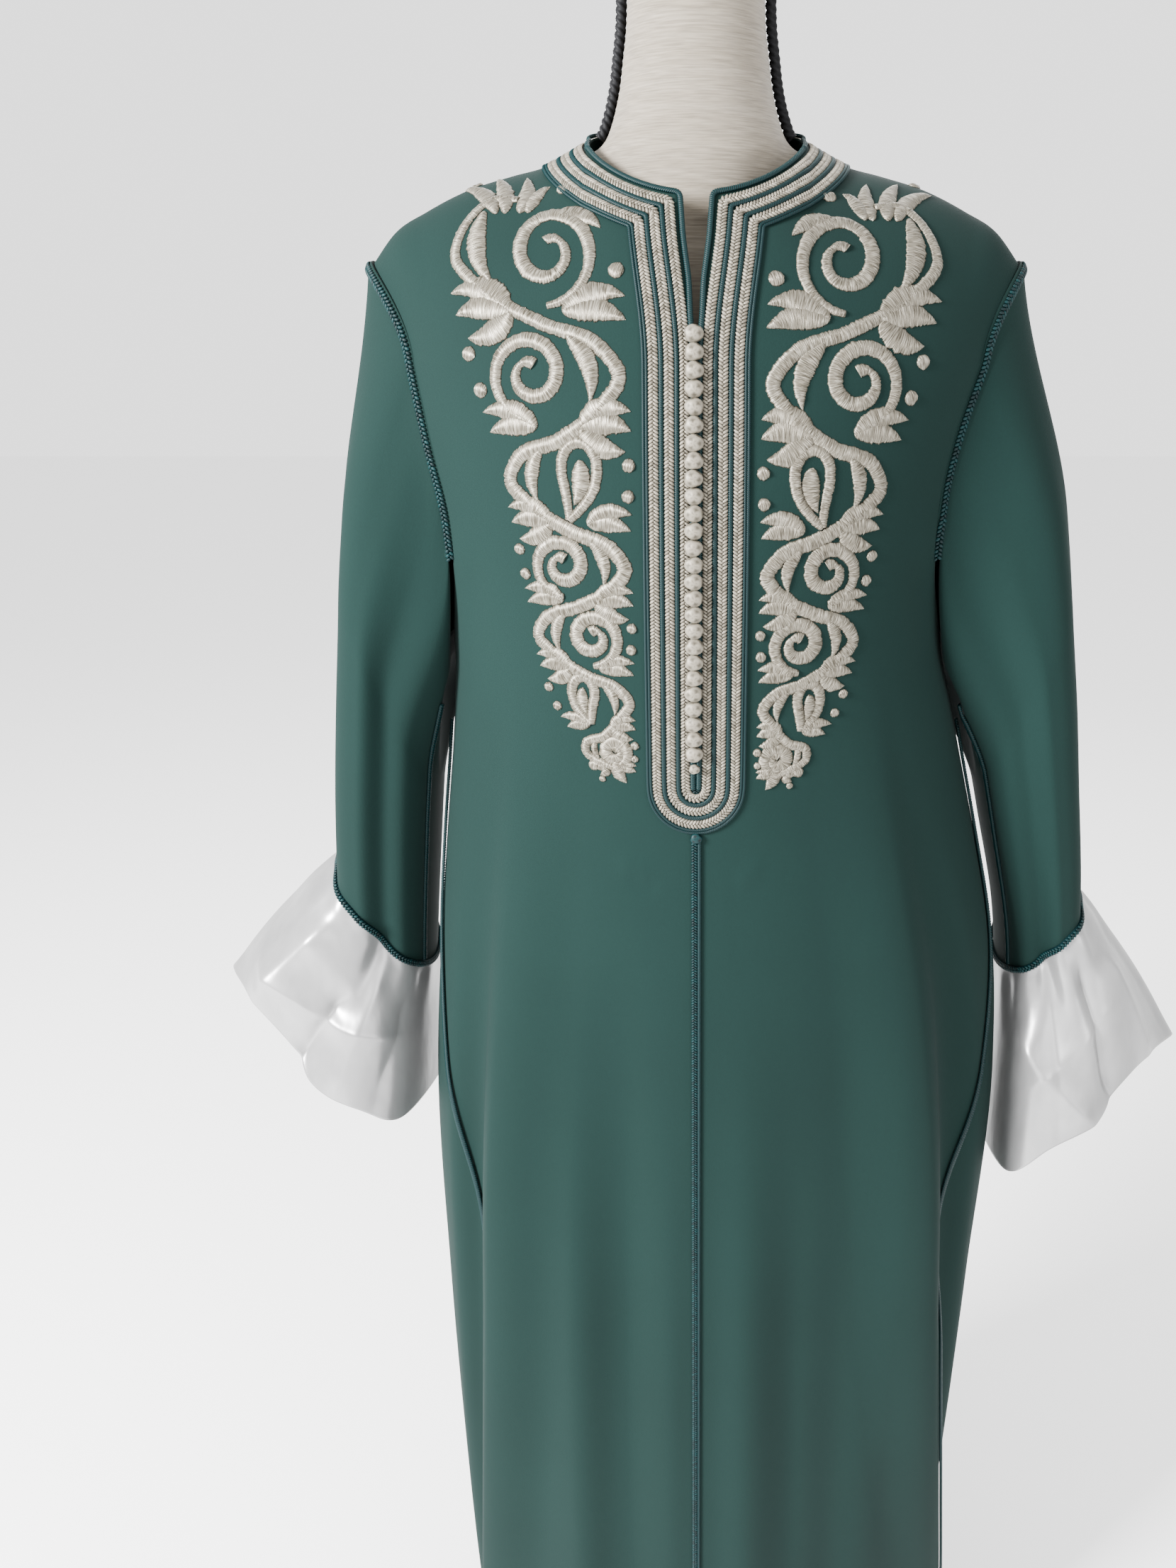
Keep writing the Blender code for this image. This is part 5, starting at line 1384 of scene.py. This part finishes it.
def leaf(base, tip, bend, width):
    """A leaf: an arc from base to tip, widest before its middle and pointed at its tip."""
    base, tip = np.array(base, float), np.array(tip, float)
    count = max(int(np.linalg.norm(tip - base) / 1.0), 9)
    s = np.linspace(0.0, 1.0, count)
    aside = np.array([-(tip - base)[1], (tip - base)[0]])
    line = base + (tip - base) * s[:, None] + aside * (bend * 4 * s * (1 - s))[:, None]
    return line, width * (np.sin(np.pi * s**0.8) ** 0.75 + 0.10 * (1 - s))


def scroll(centre, outer, inner, start, sweep, width):
    """A spiral: the radius falls from outer to inner as the angle sweeps; it ends in a bulb."""
    count = max(int(np.radians(abs(sweep)) * (outer + inner) / 2 / STROKE_STEP), 16)
    s = np.linspace(0.0, 1.0, count)
    angle = np.radians(start + sweep * s)
    radius = outer + (inner - outer) * s**0.85
    line = np.array(centre, float) + np.stack([-radius * np.cos(angle), radius * np.sin(angle)], axis=-1)
    swell = 0.45 + 0.55 * np.sin(np.pi * np.clip(s * 1.15, 0, 1)) ** 0.6
    return line, width * (swell + 0.35 * smooth((s - 0.86) / 0.1))


def dot(centre, radius):
    """A small round of stitches."""
    s = np.linspace(-0.98, 0.98, 9)
    line = np.array(centre, float) + np.stack([s * radius, 0.25 * radius * s], axis=-1)
    return line, 2.0 * radius * np.sqrt(1 - s**2)


# %% The field beside the braids
BAND = SLOT_HALF + 3 * SILVER_WIDE + 2 * TEAL_WIDE + EDGE_WIDE
FIELD = Table(
    "height outer",
    (1080, 66), (1130, 98), (1170, 112), (1230, 120), (1300, 134), (1370, 154), (1440, 172), (1485, 176),
)
STEM_WIDE = 9.6           # full strands of stitches
LEAF_WIDE = 11.5
TIER = 0.62               # a tier's height, as a share of the field's width there
BESIDE = half_braid_path(-1, BAND + 0.007)[0][40:][::-1] * 1000.0


def place(height, share):
    """A place in the field: share 0 lies by the braids and 1 at the field's outer edge."""
    inner = np.interp(height, BESIDE[:, 2], np.abs(BESIDE[:, 0]))
    outer = through(FIELD.height, FIELD.outer, height)
    return np.array([inner + share * (outer - inner), height])


def paisley(centre, size, turn):
    """A drop with a hooked tip: x = s sin a sin(a/2), narrowed, and y = -s cos a; a leaf fills it."""
    a = np.linspace(0.05, 2 * np.pi - 0.05, 15)
    up = -np.cos(a)
    out = 0.62 * np.sin(a) * np.sin(a / 2) + turn * 0.30 * np.clip(-up, 0, 1) ** 2
    drop = np.stack([out, up], axis=-1)
    return [("vine", centre + size * drop, 5.0, 7.5, 5.0),
            ("leaf", centre + size * np.array([0.0, 0.55]),
             centre + size * np.array([0.16 * turn, -0.62]), -0.10 * turn, 0.46 * size)]


def running_scroll(top, bottom):
    """A stem winds down the field; each bay holds a spiral or a paisley, leaves and dots."""
    strokes, turn, height, tier = [], 1, top, 0
    stem = [place(top + 34, 0.30)]
    while height > bottom:
        wide = place(height, 1.0)[0] - place(height, 0.0)[0]
        tall = TIER * wide
        heart = place(height, 0.5 - 0.11 * turn)
        stem += [place(height + 0.47 * tall, 0.5), place(height + 0.24 * tall, 0.5 + 0.33 * turn),
                 place(height - 0.02 * tall, 0.5 + 0.43 * turn),
                 place(height - 0.28 * tall, 0.5 + 0.32 * turn)]
        if tier % 3 == 2:
            strokes += paisley(heart, 0.28 * wide, turn)
        else:
            strokes.append(("scroll", heart, 0.275 * wide, 0.060 * wide, -90, 560 * turn, STEM_WIDE))
        strokes.append(("leaf", place(height + 0.36 * tall, 0.5 + 0.14 * turn),
                        place(height - 0.26 * tall, 0.5 + 0.235 * turn), 0.17 * turn, 0.095 * wide + 1))
        low = height - 0.5 * tall
        for share, lift, bend in ((0.50, 0.16, 0.20), (0.50, -0.02, 0.12), (0.46, -0.21, -0.14)):
            strokes.append(("leaf", place(low, 0.5 + 0.16 * turn),
                            place(low + lift * tall, 0.5 + share * turn),
                            bend * turn, LEAF_WIDE * wide / 100 + 1.5))
        for share, lift, bend in ((0.50, 0.13, -0.16), (0.49, -0.06, -0.10)):
            strokes.append(("leaf", place(low, 0.5 - 0.14 * turn),
                            place(low + lift * tall, 0.5 - share * turn),
                            bend * turn, LEAF_WIDE * wide / 110 + 1.5))
        strokes.append(("dot", place(low + 0.34 * tall, 0.5 - 0.47 * turn), 0.030 * wide + 1.4))
        strokes.append(("dot", place(low - 0.34 * tall, 0.5 + 0.48 * turn), 0.026 * wide + 1.4))
        height, turn, tier = height - tall, -turn, tier + 1
    stem += [place(height + 0.45 * tall, 0.45), place(height + 0.18 * tall, 0.35)]
    return [("vine", stem, 5.0, STEM_WIDE, 4.0)] + strokes


# %% Composition, in millimetres
FAN_FOOT = 1455           # height of the fan of leaves at the field's top
FAN = (                   # each leaf's foot, tip and bend
    (112, (98, 1472), -0.14), (118, (116, 1480), 0.12), (128, (139, 1481), 0.14),
    (134, (163, 1474), 0.16), (92, (72, 1456), 0.16), (90, (62, 1444), -0.12),
)
MOTIFS = running_scroll(1430, 1098)
MOTIFS += [("leaf", (out, FAN_FOOT), tip, bend, 10.5) for out, tip, bend in FAN]
MOTIFS += [("dot", (88, 1470), 4.5), ("dot", (154, 1482), 4.0)]
MOTIFS += [("leaf", place(1098, 0.40), place(1080, 0.30), 0.12, 9.0), ("dot", place(1092, 0.95), 4.0)]
print("motifs on each front", len(MOTIFS))

# %% [markdown]
# A stroke becomes a low crowned ribbon of padded stitches. Its edge is a little ragged,
# as stitches are, and its UV map runs along it so that the threads lie across.

# %% Strokes on the panel
CROWN = np.array([-1.0, -0.86, -0.55, -0.18, 0.18, 0.55, 0.86, 1.0])
STITCH_HIGH = 0.0017
FULLER = 1.10             # the padded stitches stand a little wider than their drawn line
RAGGED = 0.05             # how uneven a stroke's edge is, as a share of its half width
CROWN_FULL = 2.6          # the higher, the flatter a stroke's top
BED, UNEVEN = 0.00005, 0.00008     # a stroke's lift off the cloth, and how much its top varies
DROP = {-1: 0.0, 1: -0.005}        # the right front's work sits a little lower


def stroke_ribbon(point, up, width):
    """A ribbon whose section is a flat arch, down to the cloth at its edges and flat below."""
    aside = np.cross(unit(np.gradient(point, axis=0)), up)
    count = len(point)
    ragged = width[:, None] / 2 * (1 + RAGGED * RANDOM.standard_normal((count, 2)))
    reach = np.where(CROWN[None] < 0, ragged[:, :1], ragged[:, 1:]) * CROWN[None]
    rise = STITCH_HIGH * (1 - np.abs(CROWN[None]) ** CROWN_FULL)
    rise = rise * np.clip(width[:, None] / 0.005, 0.35, 1.15) + BED
    rise = rise + UNEVEN * RANDOM.standard_normal(rise.shape)
    grid = point[:, None] + aside[:, None] * reach[..., None] + up[:, None] * rise[..., None]
    length = run_along(point)
    uv = np.stack([length[:, None] + 0 * reach + RANDOM.uniform(0, 3),
                   (CROWN[None] + 1) / 2 + 0 * reach], axis=-1)
    return grid, uv


MAKERS = {"vine": vine, "leaf": leaf, "scroll": scroll, "dot": dot}
for side, word in ((-1, "left"), (1, "right")):
    lines = [MAKERS[kind](*numbers) for kind, *numbers in MOTIFS]
    lines = [(line, width * FULLER) for line, width in lines]
    places = np.concatenate([line for line, _ in lines]) / 1000.0
    places = places * [side, 1.0] + [0.0, DROP[side]]
    u, t = locate(side, places, [0, 2])
    points, normals = panel(side, u, t), panel_with_normal(side, u, t)
    at, all_points, all_faces, all_uv, start = 0, [], [], [], 0
    for line, width in lines:
        grid, uv = stroke_ribbon(points[at:at + len(line)], normals[at:at + len(line)], width / 1000.0)
        faces = closed_faces(*grid.shape[:2])
        all_points.append(grid.reshape(-1, 3))
        all_uv.append(uv.reshape(-1, 2))
        all_faces.append(faces + start)
        at += len(line)
        start += grid.shape[0] * grid.shape[1]
    piece = link("embroidery_" + word, np.concatenate(all_points), np.concatenate(all_faces),
                 [stitch_silver], np.concatenate(all_uv))
    print("embroidery_" + word, len(piece.data.polygons), "faces")

# %% [markdown]
# ## Dress form
# A hard foam trunk with a sewn linen cover, a round neck with two black ropes on its
# sides, a black cap, and a steel pole on a round base.

# %% Tables of the form
# The dress form's trunk: height, half width, depth to the front and to the back, y of its middle
FORM = Table(
    "height half   front  back   middle",
    (0.740, 0.150, 0.094, 0.092, 0.000),
    (0.748, 0.160, 0.102, 0.100, 0.000),
    (0.850, 0.172, 0.110, 0.106, 0.000),
    (0.950, 0.158, 0.100, 0.098, 0.000),
    (1.060, 0.126, 0.090, 0.082, 0.000),
    (1.160, 0.143, 0.104, 0.092, 0.000),
    (1.250, 0.160, 0.114, 0.100, 0.000),
    (1.320, 0.172, 0.104, 0.096, 0.002),
    (1.380, 0.184, 0.084, 0.082, 0.006),
    (1.420, 0.184, 0.062, 0.060, 0.010),
    (1.440, 0.186, 0.052, 0.048, 0.013),
    (1.453, 0.181, 0.042, 0.038, 0.015),
    (1.464, 0.169, 0.038, 0.034, 0.015),
    (1.473, 0.152, 0.034, 0.030, 0.015),
    (1.4807, 0.130, 0.030, 0.026, 0.015),
    (1.4872, 0.104, 0.024, 0.022, 0.015),
    (1.493, 0.086, 0.020, 0.020, 0.015),
    (1.500, 0.066, 0.018, 0.018, 0.016),
    (1.509, 0.048, 0.018, 0.018, 0.016),
    (1.520, 0.036, 0.020, 0.020, 0.018),
    (1.594, 0.028, 0.020, 0.020, 0.022),
)

# Its neck, which rises out of the trunk
NECK = Table(
    "height half   depth",
    (0.740, 0.030, 0.030),
    (1.420, 0.040, 0.040),
    (1.455, 0.056, 0.056),
    (1.480, 0.060, 0.058),
    (1.500, 0.0635, 0.057),
    (1.509, 0.0605, 0.056),
    (1.520, 0.0570, 0.054),
    (1.536, 0.0530, 0.051),
    (1.556, 0.0500, 0.049),
    (1.575, 0.0475, 0.0475),
    (1.594, 0.0465, 0.0465),
)
CAP_HEIGHT = 0.012
POLE_RADIUS = 0.0125
BASE_RADIUS = 0.145
BASE_HEIGHT = 0.018

def form_ring(z, turn):
    """A ring of the dress form: trunk and neck ellipses, the larger radius at each angle."""
    ahead, aside = np.cos(turn), np.sin(turn)
    middle = through(FORM.height, FORM.middle, z)
    half = through(FORM.height, FORM.half, z)
    depth = np.where(ahead > 0, through(FORM.height, FORM.front, z), through(FORM.height, FORM.back, z))
    trunk = 1.0 / np.hypot(aside / half, ahead / depth)
    neck = 1.0 / np.hypot(aside / through(NECK.height, NECK.half, z),
                          ahead / through(NECK.height, NECK.depth, z))
    radius = (trunk**10 + neck**10) ** 0.1
    return np.stack([radius * aside, middle - radius * ahead, z + 0 * turn], axis=-1)

# %% Trunk and neck
turn = np.linspace(0.0, 2 * np.pi, 128, endpoint=False)
turn = turn + 0.28 * np.sin(2 * turn)
heights = np.unique(np.concatenate([np.linspace(0.740, 1.594, 130), np.linspace(1.44, 1.594, 60)]))
rings = np.stack([form_ring(z, turn) for z in heights])
middle = rings[[0, -1]].mean(axis=1, keepdims=True)
POLE_SHARE = 0.01         # the ring round each end's middle, as a share of the last section
rings = np.concatenate([middle[:1] + POLE_SHARE * (rings[:1] - middle[:1]), rings,
                        middle[1:] + POLE_SHARE * (rings[-1:] - middle[1:])])
trunk = link("form_linen_body", rings, closed_faces(*rings.shape[:2]), [linen])
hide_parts("form_body")

# %% Neck ropes
top = FORM.height[-1]
for side, word in ((-1, "left"), (1, "right")):
    z = np.linspace(1.5045, top - 0.002, 60)
    wall = np.array([form_ring(h, np.array([side * np.pi / 2]))[0] for h in z])
    out = np.tile([float(side), 0.0, 0.25], (len(z), 1))
    trim("neck_rope_" + word, [twist(wall, out, 0.0080, 0.0074, 0.015, False, 0.0003, step=0.0008)],
         [rope_black], ["form_rope_" + word])


# %% Cap, pole and base
def turned(name, profile, place, finish, node, around=72):
    """A lathe form: (radius, height) pairs carried round the vertical through place."""
    profile = np.asarray(profile, float)
    spin = np.linspace(0.0, 2 * np.pi, around, endpoint=False)
    rings = np.stack([profile[:, :1] * np.cos(spin) + place[0], profile[:, :1] * np.sin(spin) + place[1],
                      profile[:, 1:] + 0 * spin], axis=-1)
    piece = link(name, rings, closed_faces(len(profile), around), [finish])
    piece.data.set_sharp_from_angle(angle=np.radians(45))
    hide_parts(node)
    return piece


PIN = 0.0004              # radius of the small ring at a lathe form's ends, which a lid shuts
cap_half = NECK.half[-1] + 0.0015
turned("neck_cap", [(PIN, top + SEAM), (cap_half, top + SEAM), (cap_half, top + 0.6 * CAP_HEIGHT),
                    (cap_half * 0.97, top + 0.8 * CAP_HEIGHT),
                    (cap_half * 0.9, top + 0.93 * CAP_HEIGHT),
                    (cap_half * 0.8, top + CAP_HEIGHT), (PIN, top + CAP_HEIGHT)],
       (0.0, FORM.middle[-1]), paint_black, "form_cap")
turned("stand_pole", [(PIN, BASE_HEIGHT), (POLE_RADIUS, BASE_HEIGHT), (POLE_RADIUS, 0.30),
                      (POLE_RADIUS, 0.55), (POLE_RADIUS, 0.739), (PIN, 0.739)],
       (0.0, 0.0), paint_black, "form_pole")
turned("stand_base", [(PIN, 0.0), (BASE_RADIUS * 0.985, 0.0), (BASE_RADIUS, 0.003),
                      (BASE_RADIUS, 0.010), (BASE_RADIUS * 0.985, 0.0145),
                      (BASE_RADIUS * 0.94, BASE_HEIGHT * 0.93),
                      (BASE_RADIUS * 0.6, BASE_HEIGHT), (PIN, BASE_HEIGHT)],
       (0.0, 0.0), paint_black, "form_base")
